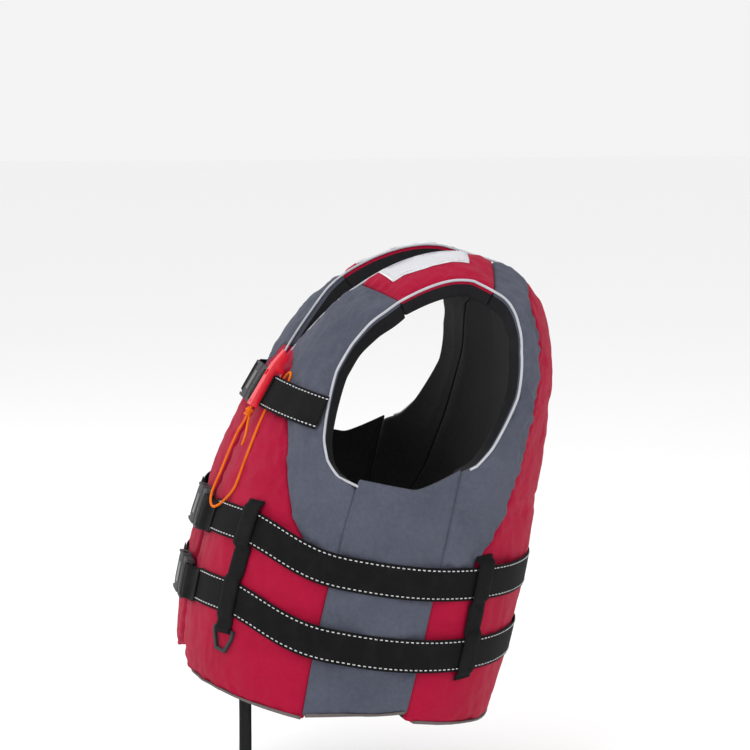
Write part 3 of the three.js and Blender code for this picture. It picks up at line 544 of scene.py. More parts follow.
def front_slant(x, along):
    return -0.4 * (95 - x) * (1 - ease(125, 204, -along))


def strap_slant(x, along):
    return -0.4 * (95 - x) * ease(60, 125, -along)


def back_dip(x, along):
    return 12 * max(0, 1 - (x / NECK_HALF) ** 2) * (1 - ease(62, 116, along))


# %% [markdown]
# ## Padded panels
# A real panel is two skins sewn together round a slab of foam. Each is built here as a closed shell on a
# fine grid, with its outer skin drawn in at the seams. Cloth simulation then blows the outer skin out
# against its pinned seams, which is what gives a padded panel its crown and its slack.

# %% Panel grids
CELL = 6.0
SIDE_SEAMS = (196, 201)  # across the vest, at the front and at the back
SIDE_HEMS = (-512, -488)
SIDE_TUCK = 0.008  # radians of side panel inside each seam


def steps_between(start, stop, extra=()):
    count = max(2, round(abs(stop - start) / CELL))
    return sorted({*np.linspace(start, stop, count + 1), *extra})


def panel_grid(low, high, rows, thick, shift):
    """Rows of (point, normal, thickness, distance to the nearest seam, map place), all in metres."""
    width = max(high(a) - low(a) for a in rows)
    columns = max(3, round(width / CELL))
    grid = []
    for along in rows:
        edge, span = low(along), high(along) - low(along)
        row = []
        for k in range(columns + 1):
            x = edge + span * k / columns
            point, normal = panel_place(x, along + shift(x, along))
            seam = min(x - edge, edge + span - x, along - rows[0], rows[-1] - along) / 1000
            row.append((point, normal, thick(x, along) / 1000, seam, (x / 1000, along / 1000)))
        grid.append(row)
    return grid


def side_grid():
    front, back = front_angle(SIDE_SEAMS[0]) - SIDE_TUCK, math.pi - front_angle(SIDE_SEAMS[1]) + SIDE_TUCK
    top = [(front, -241), (math.pi / 2, -240), (back, -208)]
    bottom = [(front, SIDE_HEMS[0]), (back, SIDE_HEMS[1])]
    angles = np.linspace(front, back, 31)
    grid = []
    for part in np.linspace(0, 1, 47):
        row = []
        for k, angle in enumerate(angles):
            low, high = through(bottom, angle), through(top, angle)
            point, normal = girth_place(angle, low + part * (high - low))
            seam = min(k, 30 - k, part * 46, (1 - part) * 46) * 0.0058
            row.append((point - normal * 0.0015, normal, 0.0045, seam, (angle * 0.15, part * 0.27)))
        grid.append(row)
    return grid


def closed_shell(name, grid, sink=SEAM_SINK):
    rows, columns = len(grid), len(grid[0])
    rim = [(0, i) for i in range(columns)] + [(j, columns - 1) for j in range(1, rows)]
    rim += [(rows - 1, i) for i in range(columns - 2, -1, -1)] + [(j, 0) for j in range(rows - 2, 0, -1)]
    points, uvs, faces, marks = [], [], [], []
    outer = [[p - n * sink * math.exp(-seam / 0.008) for p, n, _, seam, _ in row] for row in grid]
    inner = [[p - n * thick for p, n, thick, _, _ in row] for row in grid]
    for skin in (outer, inner):
        for j, row in enumerate(skin):
            points += row
            uvs += [cell[4] for cell in grid[j]]
    at = lambda side, j, i: side * rows * columns + j * columns + i
    for j in range(rows - 1):
        for i in range(columns - 1):
            corners = [(j, i), (j, i + 1), (j + 1, i + 1), (j + 1, i)]
            faces += [[at(0, *c) for c in corners], [at(1, *c) for c in reversed(corners)]]
            marks += [0, 1]
    loops = [[at(0, *c) for c in rim]]
    for level in (0.2, 0.5, 0.8):
        loops.append(list(range(len(points), len(points) + len(rim))))
        points += [outer[j][i].lerp(inner[j][i], level) for j, i in rim]
        uvs += [(grid[j][i][4][0] + level * 0.03, grid[j][i][4][1]) for j, i in rim]
    loops.append([at(1, *c) for c in rim])
    for level, (upper, lower) in enumerate(zip(loops, loops[1:])):
        for k in range(len(rim)):
            n = (k + 1) % len(rim)
            faces.append([upper[n], upper[k], lower[k], lower[n]])
            marks.append(0 if level == 0 else 1)
    piece = new_piece(name, points, faces, marks, uvs)
    sewn, seam = piece.vertex_groups.new(name="sewn"), piece.vertex_groups.new(name="seam")
    on_rim = {at(0, *c) for c in rim}
    for k in range(len(points)):
        free = k < rows * columns and k not in on_rim
        distance = grid[k // columns][k % columns][3] if k < rows * columns else 0
        sewn.add([k], 0.0 if free else 1.0, "REPLACE")
        seam.add([k], math.exp(-distance / 0.014) if free else 0.0, "REPLACE")
    return piece


strap_rows = steps_between(SHOULDER_FRONT, SHOULDER_BACK)
hem_rows = [-FRONT_HEM + part * HEM_CORNER for part in (0.015, 0.04, 0.08, 0.17)]
front_red_rows = steps_between(-FRONT_HEM, -YOKE_TOP, hem_rows)
grids = {
    "front_red": panel_grid(lambda a: neck_edge(-a), lambda a: through(FRONT_SEAM, -a), front_red_rows,
                            front_thick, front_slant),
    "front_grey": panel_grid(lambda a: yoke_inner(-a), lambda a: through(ARMHOLE_FRONT, -a),
                             steps_between(-479, SHOULDER_FRONT), front_thick, front_slant),
    "shoulder": panel_grid(lambda a: NECK_HALF, lambda a: through(STRAP_OUTER, a), strap_rows,
                           lambda x, a: STRAP_THICK, strap_slant),
    "back_grey": panel_grid(lambda a: through(BACK_SEAM, a), lambda a: through(ARMHOLE_BACK, a),
                            steps_between(SHOULDER_BACK, 441), back_thick, back_dip),
    "back_red": panel_grid(lambda a: -through(BACK_SEAM, a), lambda a: through(BACK_SEAM, a),
                           steps_between(BACK_NECK, BACK_HEM), back_thick, back_dip),
    "side": side_grid(),
}
pads = {name: closed_shell(name + "_pad", grid, 0.001 if name == "side" else SEAM_SINK)
        for name, grid in grids.items()}
print({name: len(pad.data.vertices) for name, pad in pads.items()})

# %% [markdown]
# ## Blowing the panels up
# The Cloth modifier pushes the loose outer skin out. It is let grow a little past its cut size, because
# sewn cloth is always slightly too big for the foam under it, and the spare cloth turns into creases.

# %% Cloth simulation
PAD_FRAMES = 20
MOST_SWELL = {"side": 0.004}


def add_cloth(pad, pressure, growth):
    modifier = pad.modifiers.new("swell", "CLOTH")
    settings = modifier.settings
    settings.quality = 6
    settings.mass = 0.25
    settings.tension_stiffness = settings.compression_stiffness = 22
    settings.shear_stiffness = 8
    settings.bending_stiffness = 1.2
    settings.vertex_group_mass = "sewn"
    settings.use_pressure = True
    settings.uniform_pressure_force = pressure
    settings.shrink_min = -growth
    settings.effector_weights.gravity = 0
    modifier.collision_settings.use_collision = False
    modifier.point_cache.frame_start, modifier.point_cache.frame_end = 1, PAD_FRAMES


def swell(name, pad):
    """Takes the simulated shape, with no point further from its start than the cap."""
    start = [v.co.copy() for v in pad.data.vertices]
    apply_modifiers(pad)
    cap, most = MOST_SWELL.get(name, 0.006), 0
    for vertex, before in zip(pad.data.vertices, start):
        move = vertex.co - before
        most = max(most, move.length)
        if move.length > cap:
            vertex.co = before + move.normalized() * cap
    return round(most * 1000, 1)


for name, pad in pads.items():
    add_cloth(pad, 0.6 if name == "side" else 2.5, 0.012)
for number in range(1, PAD_FRAMES + 1):
    scene.frame_set(number)
print("swell, mm", {name: swell(name, pad) for name, pad in pads.items()})
scene.frame_set(1)

# %% [markdown]
# ## Creases
# A finer grid takes the small folds that the simulation is too coarse for: puckers that run into each
# seam, where the thread gathers the cloth, and shallow dents across the panel.

# %% Creases and puckers
def rumple(pad, depth, pucker=0.003, deepest=-0.006):
    subdivide = pad.modifiers.new("finer", "SUBSURF")
    subdivide.levels = subdivide.render_levels = 1
    apply_modifiers(pad)
    sewn, seam = pad.vertex_groups["sewn"].index, pad.vertex_groups["seam"].index
    for vertex in pad.data.vertices:
        weight = {entry.group: entry.weight for entry in vertex.groups}
        free, gathered = 1 - weight.get(sewn, 0), weight.get(seam, 0)
        if free < 0.02:
            continue
        p = vertex.co
        dents = noise.noise(p * 26) + 0.5 * noise.noise(p * 61 + Vector((3, 1, 7)))
        folds = 1 - 2 * abs(noise.noise(Vector((p.x * 62, p.y * 62, p.z * 24))))
        move = depth * (dents + 0.6 * folds) + pucker * gathered * noise.noise(p * 110)
        vertex.co += vertex.normal * max(move, deepest) * free
    pad.data.update()


for name, pad in pads.items():
    if name == "side":
        rumple(pad, 0.0022, deepest=-0.001)
    else:
        rumple(pad, 0.003 if name.endswith("grey") else 0.0018)

# %% [markdown]
# ## Both sides of the vest
# The panels of one side are mirrored, because a vest is cut from one pattern laid both ways up.

# %% Both sides of the vest
panels = {"back_red": pads.pop("back_red")}
for name, pad in list(pads.items()):
    pad.name = pad.data.name = name + "_pad_left"
    panels[name + "_left"] = pad
    panels[name + "_right"] = mirror_copy(pad, name + "_pad_right")
panels["back_red"].name = "back_red_pad"
print(len(panels), "panels")


# %% [markdown]
# ## Resting trim on the panels
# Webbing and trim lie on the swollen cloth, not on the ideal surface. `cloth_height` looks down a normal
# and finds how far above or below that surface the cloth really is.

# %% Heights over the cloth
def tree_of(objects):
    points, faces = [], []
    for piece in objects:
        base = len(points)
        points += [v.co.copy() for v in piece.data.vertices]
        faces += [[base + k for k in polygon.vertices] for polygon in piece.data.polygons]
    return BVHTree.FromPolygons(points, faces)


cloth_tree = tree_of(panels.values())


def cloth_height(point, normal, tree=None):
    hit = (tree or cloth_tree).ray_cast(point + normal * 0.03, -normal, 0.045)[0]
    return (hit - point).dot(normal) if hit else 0.0


def smoothed(values, reach):
    """Each value becomes the highest near it, and the result is then averaged, so taut webbing spans dips."""
    last = len(values) - 1
    near = lambda series, k: series[max(0, k - reach):min(last, k + reach) + 1]
    high = [max(near(values, k)) for k in range(last + 1)]
    return [sum(near(high, k)) / len(near(high, k)) for k in range(last + 1)]

# %% [markdown]
# ## Tubes and stitches
# Piping, binding and cord are tubes swept along a line, and each stitch is a short, low block. Both keep
# a map that runs along them, for their finishes.

# %% Tubes and stitches
def resampled(line, step):
    line = [Vector(p) for p in line]
    lengths = [0.0]
    for a, b in zip(line, line[1:]):
        lengths.append(lengths[-1] + (b - a).length)
    count = max(2, round(lengths[-1] / step))
    marks = np.linspace(0, lengths[-1], count + 1)
    return [Vector([float(np.interp(m, lengths, [p[k] for p in line])) for k in range(3)]) for m in marks]


def tube(name, line, radius, sides=8, flat=1.0):
    """A closed tube along a line. With flat under 1 its section is an oval."""
    points, faces, uvs = [], [], []
    normal = (line[1] - line[0]).orthogonal().normalized()
    for k, here in enumerate(line):
        ahead = (line[min(k + 1, len(line) - 1)] - line[max(k - 1, 0)]).normalized()
        normal = (normal - ahead * normal.dot(ahead)).normalized()
        across = ahead.cross(normal)
        for side in range(sides):
            angle = 2 * math.pi * side / sides
            points.append(here + radius * (math.cos(angle) * normal + flat * math.sin(angle) * across))
            uvs.append((side * radius * 0.8, k * 0.002))
    for k in range(len(line) - 1):
        for side in range(sides):
            a, b = k * sides + side, k * sides + (side + 1) % sides
            faces.append([a, b, b + sides, a + sides])
    faces += [list(range(sides))[::-1], [len(points) - sides + side for side in range(sides)]]
    return new_piece(name, points, faces, None, uvs)


def stitches(line, normals, dash=0.0031, gap=0.0016, width=0.0014, height=0.0006):
    """Points and faces for a row of stitches, each with a domed top of two faces."""
    points, faces, gone = [], [], 0.0
    for k in range(len(line) - 1):
        here, step = line[k], (line[k + 1] - line[k])
        if gone <= 0:
            ahead = step.normalized()
            up = normals[k]
            across = ahead.cross(up).normalized() * width / 2
            base = len(points)
            for along in (0, dash):
                for side, lift in ((-1, -0.5), (0, 1), (1, -0.5)):
                    points.append(here + ahead * along + across * side + up * height * lift)
            faces += [[base, base + 3, base + 4, base + 1], [base + 1, base + 4, base + 5, base + 2]]
            faces += [[base, base + 1, base + 2], [base + 5, base + 4, base + 3]]
            faces += [[base + 2, base + 5, base + 3, base]]
            gone = dash + gap
        gone -= step.length
    return points, faces


def add_stitches(piece, rows, **sizes):
    """Joins rows of stitches to a piece, in its next material slot."""
    points, faces, marks, uvs = [v.co.copy() for v in piece.data.vertices], [], [], []
    source = piece.data
    uv_of = {}
    for loop in source.loops:
        uv_of[loop.vertex_index] = tuple(source.uv_layers["cloth"].data[loop.index].uv)
    uvs = [uv_of.get(k, (0, 0)) for k in range(len(points))]
    for polygon in source.polygons:
        faces.append(list(polygon.vertices))
        marks.append(polygon.material_index)
    slot = max(marks) + 1
    for line, normals in rows:
        new_points, new_faces = stitches(line, normals, **sizes)
        base = len(points)
        points += new_points
        uvs += [(p.x, p.z) for p in new_points]
        faces += [[base + k for k in face] for face in new_faces]
        marks += [slot] * len(new_faces)
    name = piece.name
    bpy.data.objects.remove(piece)
    return new_piece(name, points, faces, marks, uvs)


# %% [markdown]
# ## Piping and hem binding
# A thin silver piping is sewn into each armhole edge and round the neck, and a flat binding closes the hem.
# They follow the drawn-in edge of the panels.

# %% Piping lines
def edge_point(x, along, shift, out):
    point, normal = panel_place(x, along + shift(x, along))
    side = (panel_place(x + out, along + shift(x, along))[0] - point).normalized()
    return point - normal * (SEAM_SINK - 0.0004) + side * 0.0005


def armhole_line():
    line = [edge_point(through(ARMHOLE_FRONT, -a), a, front_slant, 1) for a in np.arange(-373, -125, 5)]
    line += [edge_point(through(STRAP_OUTER, a), a, strap_slant, 1) for a in np.arange(-121, 30, 5)]
    line += [edge_point(through(ARMHOLE_BACK, a), a, back_dip, 1) for a in np.arange(33, 313, 5)]
    return line


def neck_line():
    line = [edge_point(neck_edge(d), -d, front_slant, -1) for d in np.arange(NECK_DEPTH, 125, -5)]
    line += [edge_point(NECK_HALF, a, strap_slant, -1) for a in np.arange(-121, 30, 5)]
    line += [edge_point(NECK_HALF, a, back_dip, -1) for a in np.arange(32, 62, 5)]
    return line


def sewn_trim(name, line, radius, finish, slot, body, flat=1.0):
    piece = tube(name + "_left", resampled(line, 0.003), radius, flat=flat)
    twin = mirror_copy(piece, name + "_right")
    for hand, made in zip(HANDS, (piece, twin)):
        finish_piece(made, body + hand, slot, finish)


sewn_trim("armhole_piping", armhole_line(), 0.0015, silver_piping, "reflective", "soft_join:")
sewn_trim("neck_piping", neck_line(), 0.0014, silver_piping, "reflective", "soft_join:")


def bound_hem(name, places):
    """A flat binding tape folded round the lower edge of a panel, as a closed U along it."""
    points, faces, uvs = [], [], []
    section = [(0.0012, 0.0034), (0.0016, 0.001), (0.0003, -0.0012), (-0.5, -0.0016), (-1.0003, -0.0012),
               (-1.0016, 0.001), (-1.0012, 0.0034), (-1.0, 0.0026), (-0.5, 0.0), (0.0, 0.0026)]
    heights = smoothed([max(cloth_height(point + up * rise, normal) for rise in (0.001, 0.0034))
                        for point, normal, up, thick in places], 1)
    for k, ((point, normal, up, thick), height) in enumerate(zip(places, heights)):
        for out, rise in section:
            out += max(height, 0) if out > 0.001 or rise == 0.0026 and out == 0.0 else 0
            depth_part = out * thick if out <= -0.5 else out
            if out < -1:
                depth_part = -thick + (out + 1)
            points.append(point + normal * depth_part + up * rise)
            uvs.append((rise, k * 0.004))
    count = len(section)
    for k in range(len(places) - 1):
        for n in range(count):
            a, b = k * count + n, k * count + (n + 1) % count
            faces.append([a, b, b + count, a + count])
    faces += [list(range(count))[::-1], [len(points) - count + n for n in range(count)]]
    piece = new_piece(name, points, faces, None, uvs)
    only(piece)
    bpy.ops.object.mode_set(mode="EDIT")
    bpy.ops.mesh.select_all(action="SELECT")
    bpy.ops.mesh.normals_make_consistent(inside=False)
    bpy.ops.object.mode_set(mode="OBJECT")
    return piece


def hem_places(x_from, x_to, along, thick):
    places = []
    for x in np.linspace(x_from, x_to, 34):
        point, normal = panel_place(x, along)
        onward = (panel_place(x, along - math.copysign(2, along))[0] - point).normalized()
        places.append((point - normal * SEAM_SINK, normal, onward, thick(x, along) / 1000 - SEAM_SINK))
    return places


def side_hem_places():
    places = []
    front, back = front_angle(SIDE_SEAMS[0]), math.pi - front_angle(SIDE_SEAMS[1])
    for angle in np.linspace(front + 0.01, back - 0.01, 30):
        z = through([(front, SIDE_HEMS[0]), (back, SIDE_HEMS[1])], angle)
        point, normal = girth_place(angle, z)
        up = (girth_place(angle, z + 2)[0] - point).normalized()
        places.append((point - normal * 0.0025, normal, up, 0.0035))
    return places


front_hem = bound_hem("front_hem_binding_left", hem_places(64, 195, -FRONT_HEM, front_thick))
side_hem = bound_hem("side_hem_binding_left", side_hem_places())
for hem, name in ((front_hem, "front_hem_binding_right"), (side_hem, "side_hem_binding_right")):
    twin = mirror_copy(hem, name)
    finish_piece(hem, "soft_join:left", "lining", binding_cloth)
    finish_piece(twin, "soft_join:right", "lining", binding_cloth)
back_hem = bound_hem("back_hem_binding", hem_places(-198, 198, BACK_HEM, back_thick))
finish_piece(back_hem, "back", "lining", binding_cloth)
print("piping and binding sewn on")

# %% [markdown]
# ## Dressing the panels
# Each padded panel replaces the plain solids that hold its place in the imported model. The lining is the
# inner skin of the same pad, and the closed pad stands in for the foam, whose imported solid is hidden.

# %% Panels onto their bodies
SHELLS = {"front_red": red_shell, "front_grey": grey_shell, "shoulder": red_shell, "back_grey": grey_shell,
          "side": grey_shell, "back_red": red_shell}
STANDS_FOR = {"front_red": ["front_cover", "front_lining", "front_foam"], "front_grey": ["front_yoke"],
              "shoulder": ["shoulder_cover", "shoulder_lining", "shoulder_foam"],
              "back_grey": ["back_yoke"], "side": ["side_panel"]}


def dress_panel(name, pad):
    part, _, hand = name.rpartition("_") if name.endswith(("_left", "_right")) else (name, "", "")
    shell = SHELLS[part]
    slot = "red_shell" if shell is red_shell else "grey_shell"
    body = "back" if part.startswith("back") else "soft_join:" + hand
    finish_piece(pad, body, slot, shell, lining_cloth)
    stands_for = [f"{node}_{hand}" for node in STANDS_FOR.get(part, [])]
    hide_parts(*(stands_for or ["back_cover", "back_lining", "back_foam"]))


for name, pad in panels.items():
    dress_panel(name, pad)

# %% [markdown]
# ## Belts
# Each belt is one length of 38 mm webbing. It is folded round the end bar of its buckle half, sewn to
# itself, and then runs round the vest to the middle of the back. Its two edges are drawn as lines, and
# the strip is woven between them. White thread runs along both edges.

# %% Webbing strips
BELT_WIDTH, BELT_THICK, KEEPER_WIDTH = 38, 1.8, 25
UPPER_Z, LOWER_Z, CHEST_Z = -335, -417, -182
SWAY = [(0, 0), (33, 9), (42, 8), (50, 3), (59, -4), (69, -9), (80, -9), (98, -5), (150, 14), (180, 14)]
SWAY_LINE = [tuple(p) for p in catmull(SWAY, 12)]
BAR_X, BAR_RADIUS, BUCKLE_THICK, BUCKLE_LIFT = 30.5, 2, 10.4, 2.8
BAR_HEIGHT = BUCKLE_LIFT + BUCKLE_THICK / 2 - 1
TURN = BAR_RADIUS * math.sqrt(2) + 0.3 + BELT_THICK / 2


def sway(angle):
    return through(SWAY_LINE, min(abs(math.degrees(angle)), 180))


def flat(angle):
    return 0


def surface_frame(x, z, height=0.0):
    """Around, up and out of the front at a place, as a matrix in metres."""
    point, normal = girth_place(front_angle(x), z)
    up = (Vector((0, 0, 1)) - normal * normal.z).normalized()
    basis = Matrix((up.cross(normal), up, normal)).transposed().to_4x4()
    return Matrix.Translation(point + normal * height / 1000) @ basis


def strip(name, edges, thick=BELT_THICK / 1000, step=0.003, columns=6, wave=0.0003):
    """Webbing between two edge lines that are given point for point."""
    low, high = ([Vector(p) for p in catmull(edge, 8)] for edge in edges)
    middle = [a.lerp(b, 0.5) for a, b in zip(low, high)]
    lengths = np.append(0, np.cumsum([(b - a).length for a, b in zip(middle, middle[1:])]))
    marks = np.linspace(0, lengths[-1], max(3, round(lengths[-1] / step)) + 1)
    at = lambda line, m: Vector([float(np.interp(m, lengths, [p[k] for p in line])) for k in range(3)])
    low, high = ([at(line, m) for m in marks] for line in (low, high))
    last = len(marks) - 1
    points, uvs, faces, tops = [], [], [], []
    for k in range(last + 1):
        after, before = min(k + 1, last), max(k - 1, 0)
        ahead = low[after] + high[after] - low[before] - high[before]
        normal = ahead.cross(high[k] - low[k]).normalized()
        ring = []
        for side in (1, -1):
            order = range(columns + 1) if side > 0 else range(columns, -1, -1)
            for c in order:
                part = c / columns
                rounded = 0.55 if c in (0, columns) else 1.0
                ripple = wave * noise.noise(Vector((marks[k] * 28, part * 1.3, 4.0)))
                ring.append(low[k].lerp(high[k], part) + normal * (side * thick / 2 * rounded + ripple))
                uvs.append((part * (high[k] - low[k]).length, float(marks[k])))
        points += ring
        tops.append((low[k], high[k], normal))
    size = 2 * (columns + 1)
    for k in range(last):
        for n in range(size):
            a, b = k * size + n, k * size + (n + 1) % size
            faces.append([a, a + size, b + size, b])
    faces += [list(range(size)), [last * size + n for n in range(size)][::-1]]
    return new_piece(name, points, faces, [0] * len(faces), uvs), tops


def edge_threads(tops, thick=BELT_THICK / 1000, start=0, stop=None, inset=0.0032, outside=1):
    """Two rows of stitches along the outer face of a strip."""
    tops = tops[start:stop]
    rows = []
    for part_of in (lambda width: inset / width, lambda width: 1 - inset / width):
        line = [a.lerp(b, part_of((b - a).length)) + n * outside * (thick / 2 + 0.0001) for a, b, n in tops]
        rows.append((line, [n * outside for _, _, n in tops]))
    return rows


def girth_edges(path, z, rise):
    edges = []
    for side in (-1, 1):
        edge = []
        for angle, height in path:
            point, normal = girth_place(angle, z + rise(angle) + side * BELT_WIDTH / 2)
            edge.append(point + normal * height / 1000)
        edges.append(edge)
    return edges


def across_at(angle):
    """Distance to the left of the centre line, on the front half, in millimetres."""
    return HALF_WIDTH * abs(math.sin(min(angle, math.pi / 2))) ** (2 / SECTION_POWER)


def rest_heights(angles, z, rise, least):
    """How high over the ideal surface a belt lies, in millimetres. The chest belt also spans the cord."""
    over_cord = [(0, 3.4), (88, 3.4), (112, 0), (205, 0)] if z == CHEST_Z else [(0, 0), (205, 0)]
    found = []
    for angle in angles:
        middle = z + rise(angle)
        spots = [girth_place(angle, middle + part * BELT_WIDTH / 2) for part in (-0.95, -0.4, 0.4, 0.95)]
        found.append(max(cloth_height(*spot) for spot in spots) * 1000)
    spare = [through(over_cord, across_at(angle)) for angle in angles]
    heights = zip(angles, smoothed(found, 3), spare)
    return [max(height + 1.3, least(angle)) + more for angle, height, more in heights]


def belt_edges(z, end_angle, rise):
    over = [(56, 2.9), (47, 4.6), (40, 9.4), (36.5, BAR_HEIGHT + TURN - 0.5)]
    turns = np.radians(range(90, 271, 30))
    wrap = [(BAR_X + TURN * math.cos(a), BAR_HEIGHT + TURN * math.sin(a)) for a in turns]
    under = [(37, BAR_HEIGHT - TURN - 0.3), (47, 2.2), (56, 0.6)]
    place = surface_frame(0, z)
    plane = [[place @ Vector((x / 1000, side * BELT_WIDTH / 2000, h / 1000)) for x, h in [*over, *wrap, *under]]
             for side in (-1, 1)]
    lift = [(0, 5), (66, 5), (80, 4.8), (96, 3.2), (112, 1.6), (130, 1.3), (205, 1.3)]
    least = lambda angle: through(lift, across_at(angle))
    angles = [front_angle(66), *np.arange(front_angle(74), end_angle, 0.07), end_angle]
    heights = rest_heights(angles, z, rise, least)
    start = girth_edges([(front_angle(66), heights[0] + BELT_THICK + 0.4)], z, rise)
    rest = girth_edges(list(zip(angles, heights)), z, rise)
    return [start[k] + plane[k] + rest[k] for k in (0, 1)]


belt_pieces = []


def make_belt(name, z, end_angle, rise):
    piece, tops = strip(name + "_webbing_left", belt_edges(z, end_angle, rise))
    piece = add_stitches(piece, edge_threads(tops, start=26, outside=1))
    belt_pieces.append(piece)
    twin = mirror_copy(piece, name + "_webbing_right")
    belt_pieces.append(twin)
    return piece, twin


for name, z in (("upper", UPPER_Z), ("lower", LOWER_Z)):
    for hand, piece in zip(HANDS, make_belt(name, z, math.pi - 0.003, sway)):
        finish_piece(piece, "soft_join:" + hand, "webbing", black_webbing, white_thread)
        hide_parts(f"{name}_belt_front_{hand}", *([f"{name}_belt_back"] if hand == "left" else []))
for hand, piece in zip(HANDS, make_belt("chest", CHEST_Z, front_angle(158), flat)):
    finish_piece(piece, "front_" + hand, "webbing", black_webbing, white_thread)
    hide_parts(f"chest_belt_{hand}")
print("belts", [piece.name for piece in belt_pieces])

# %% [markdown]
# ## Keepers
# A narrower webbing runs down over both waist belts and is sewn down above, between and below them. At the
# front it ends in a loop that holds a ring.

# %% Keepers
over_tree = tree_of([*panels.values(), *belt_pieces])
FRONT_KEEPER_X, BACK_KEEPER_X, RING_WIRE = 128, 180, 3.6
KEEPER_REST = 0.7 + BELT_THICK / 2 + 0.4
LOOP_RADIUS = RING_WIRE * math.sqrt(0.5) + 0.3 + BELT_THICK / 2
LOOP_HEIGHT = KEEPER_REST + 2.4
front_rise, back_rise = sway(front_angle(FRONT_KEEPER_X)), sway(math.pi - front_angle(BACK_KEEPER_X))
RING_Z = LOWER_Z + front_rise - BELT_WIDTH / 2 - 18


def keeper_edges(angle, path):
    edges = []
    for side in (-1, 1):
        edge = []
        for z, height in path:
            point, normal = girth_place(angle, z)
            across = Vector((normal.y, -normal.x, 0)).normalized() * side * KEEPER_WIDTH / 2000
            edge.append(point + normal * height / 1000 + across)
        edges.append(edge)
    return edges


def keeper_path(angle, top, bottom):
    """Rests on whatever is under it: cloth between the belts, webbing over them."""
    heights, zs = [], np.linspace(top, bottom, round((top - bottom) / 4) + 1)
    for z in zs:
        point, normal = girth_place(angle, z)
        across = Vector((normal.y, -normal.x, 0)).normalized() * 0.011
        spots = [point - across, point, point + across]
        heights.append(max(cloth_height(spot, normal, over_tree) for spot in spots) * 1000 + 1.2)
    near = [max(heights[max(0, k - 1):k + 2]) for k in range(len(heights))]
    return list(zip(zs, near))


def ring_loop():
    angles = np.radians(np.linspace(60, -150, 7))
    return [(RING_Z + LOOP_RADIUS * math.sin(a), LOOP_HEIGHT + LOOP_RADIUS * math.cos(a)) for a in angles]


front_top, front_bottom = UPPER_Z + front_rise + 31, RING_Z + 10
back_top, back_bottom = UPPER_Z + back_rise + 31, LOWER_Z + back_rise - 29
front_path = keeper_path(front_angle(FRONT_KEEPER_X), front_top, front_bottom) + ring_loop()
back_path = keeper_path(math.pi - front_angle(BACK_KEEPER_X), back_top, back_bottom)
for name, angle, path, body in (("front", front_angle(FRONT_KEEPER_X), front_path, "front_"),
                                ("back", math.pi - front_angle(BACK_KEEPER_X), back_path, "")):
    piece, tops = strip(name + "_keeper_strap_left", keeper_edges(angle, path), step=0.0025, wave=0.0002)
    for hand, made in zip(HANDS, (piece, mirror_copy(piece, name + "_keeper_strap_right"))):
        finish_piece(made, body + hand if body else "back", "webbing", black_webbing)
        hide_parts(f"{name}_keeper_{hand}")
print("keepers", len(front_path), "points")

# %% [markdown]
# ## Moulded parts
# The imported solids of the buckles, rings, whistle and slider have the right shape but knife-sharp edges.
# A copy of each is merged and bevelled, because it is the rounded edge that catches the light on a moulded
# part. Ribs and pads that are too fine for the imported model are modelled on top.

# %% Rounding the moulded solids
def rounded_copy(node, radius, finish, body, slot="plastic", angle=35, segments=3):
    source = nodes[node]
    piece = source.copy()
    piece.data = source.data.copy()
    piece.parent = None
    for key in list(piece.keys()):
        del piece[key]
    piece.name = piece.data.name = node + "_moulding"
    scene.collection.objects.link(piece)
    only(piece)
    bpy.ops.object.mode_set(mode="EDIT")
    bpy.ops.mesh.select_all(action="SELECT")
    bpy.ops.mesh.remove_doubles(threshold=0.00002)
    bpy.ops.mesh.dissolve_limited(angle_limit=math.radians(3))
    bpy.ops.object.mode_set(mode="OBJECT")
    bevel = piece.modifiers.new("round", "BEVEL")
    bevel.width, bevel.segments, bevel.limit_method = radius, segments, "ANGLE"
    bevel.angle_limit = math.radians(angle)
    bevel.use_clamp_overlap = True
    apply_modifiers(piece)
    only(piece)
    bpy.ops.object.shade_smooth_by_angle(angle=math.radians(40))
    finish_piece(piece, body, slot, finish)
    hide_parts(node)
    return piece


for name in ("chest", "upper", "lower"):
    rounded_copy(name + "_buckle_male", 0.0011, black_plastic, "front_left")
    rounded_copy(name + "_buckle_female", 0.0011, black_plastic, "front_right")
    for end in ("top", "bottom"):
        rounded_copy(f"{name}_buckle_arm_{end}", 0.0006, black_plastic, f"{name}_arm_{end}")
for hand in HANDS:
    rounded_copy("d_ring_" + hand, 0.0011, black_plastic, "d_ring_" + hand)
whistle = rounded_copy("whistle", 0.0011, whistle_plastic, "whistle", "whistle_plastic", 25)
rounded_copy("zip_slider", 0.0003, black_plastic, "zip_slider")
rounded_copy("zip_pull", 0.0004, black_plastic, "zip_pull")
rounded_copy("crotch_buckle_female", 0.0011, black_plastic, "crotch_strap")

# %% [markdown]
# ## Raised details
# The buckle's female half has a raised thumb pad, and its male half has grip ribs. Each is a low bar that
# is modelled flat, inset, rounded and then set on its face. The whistle's copy is slimmed to its real
# outline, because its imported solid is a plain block.

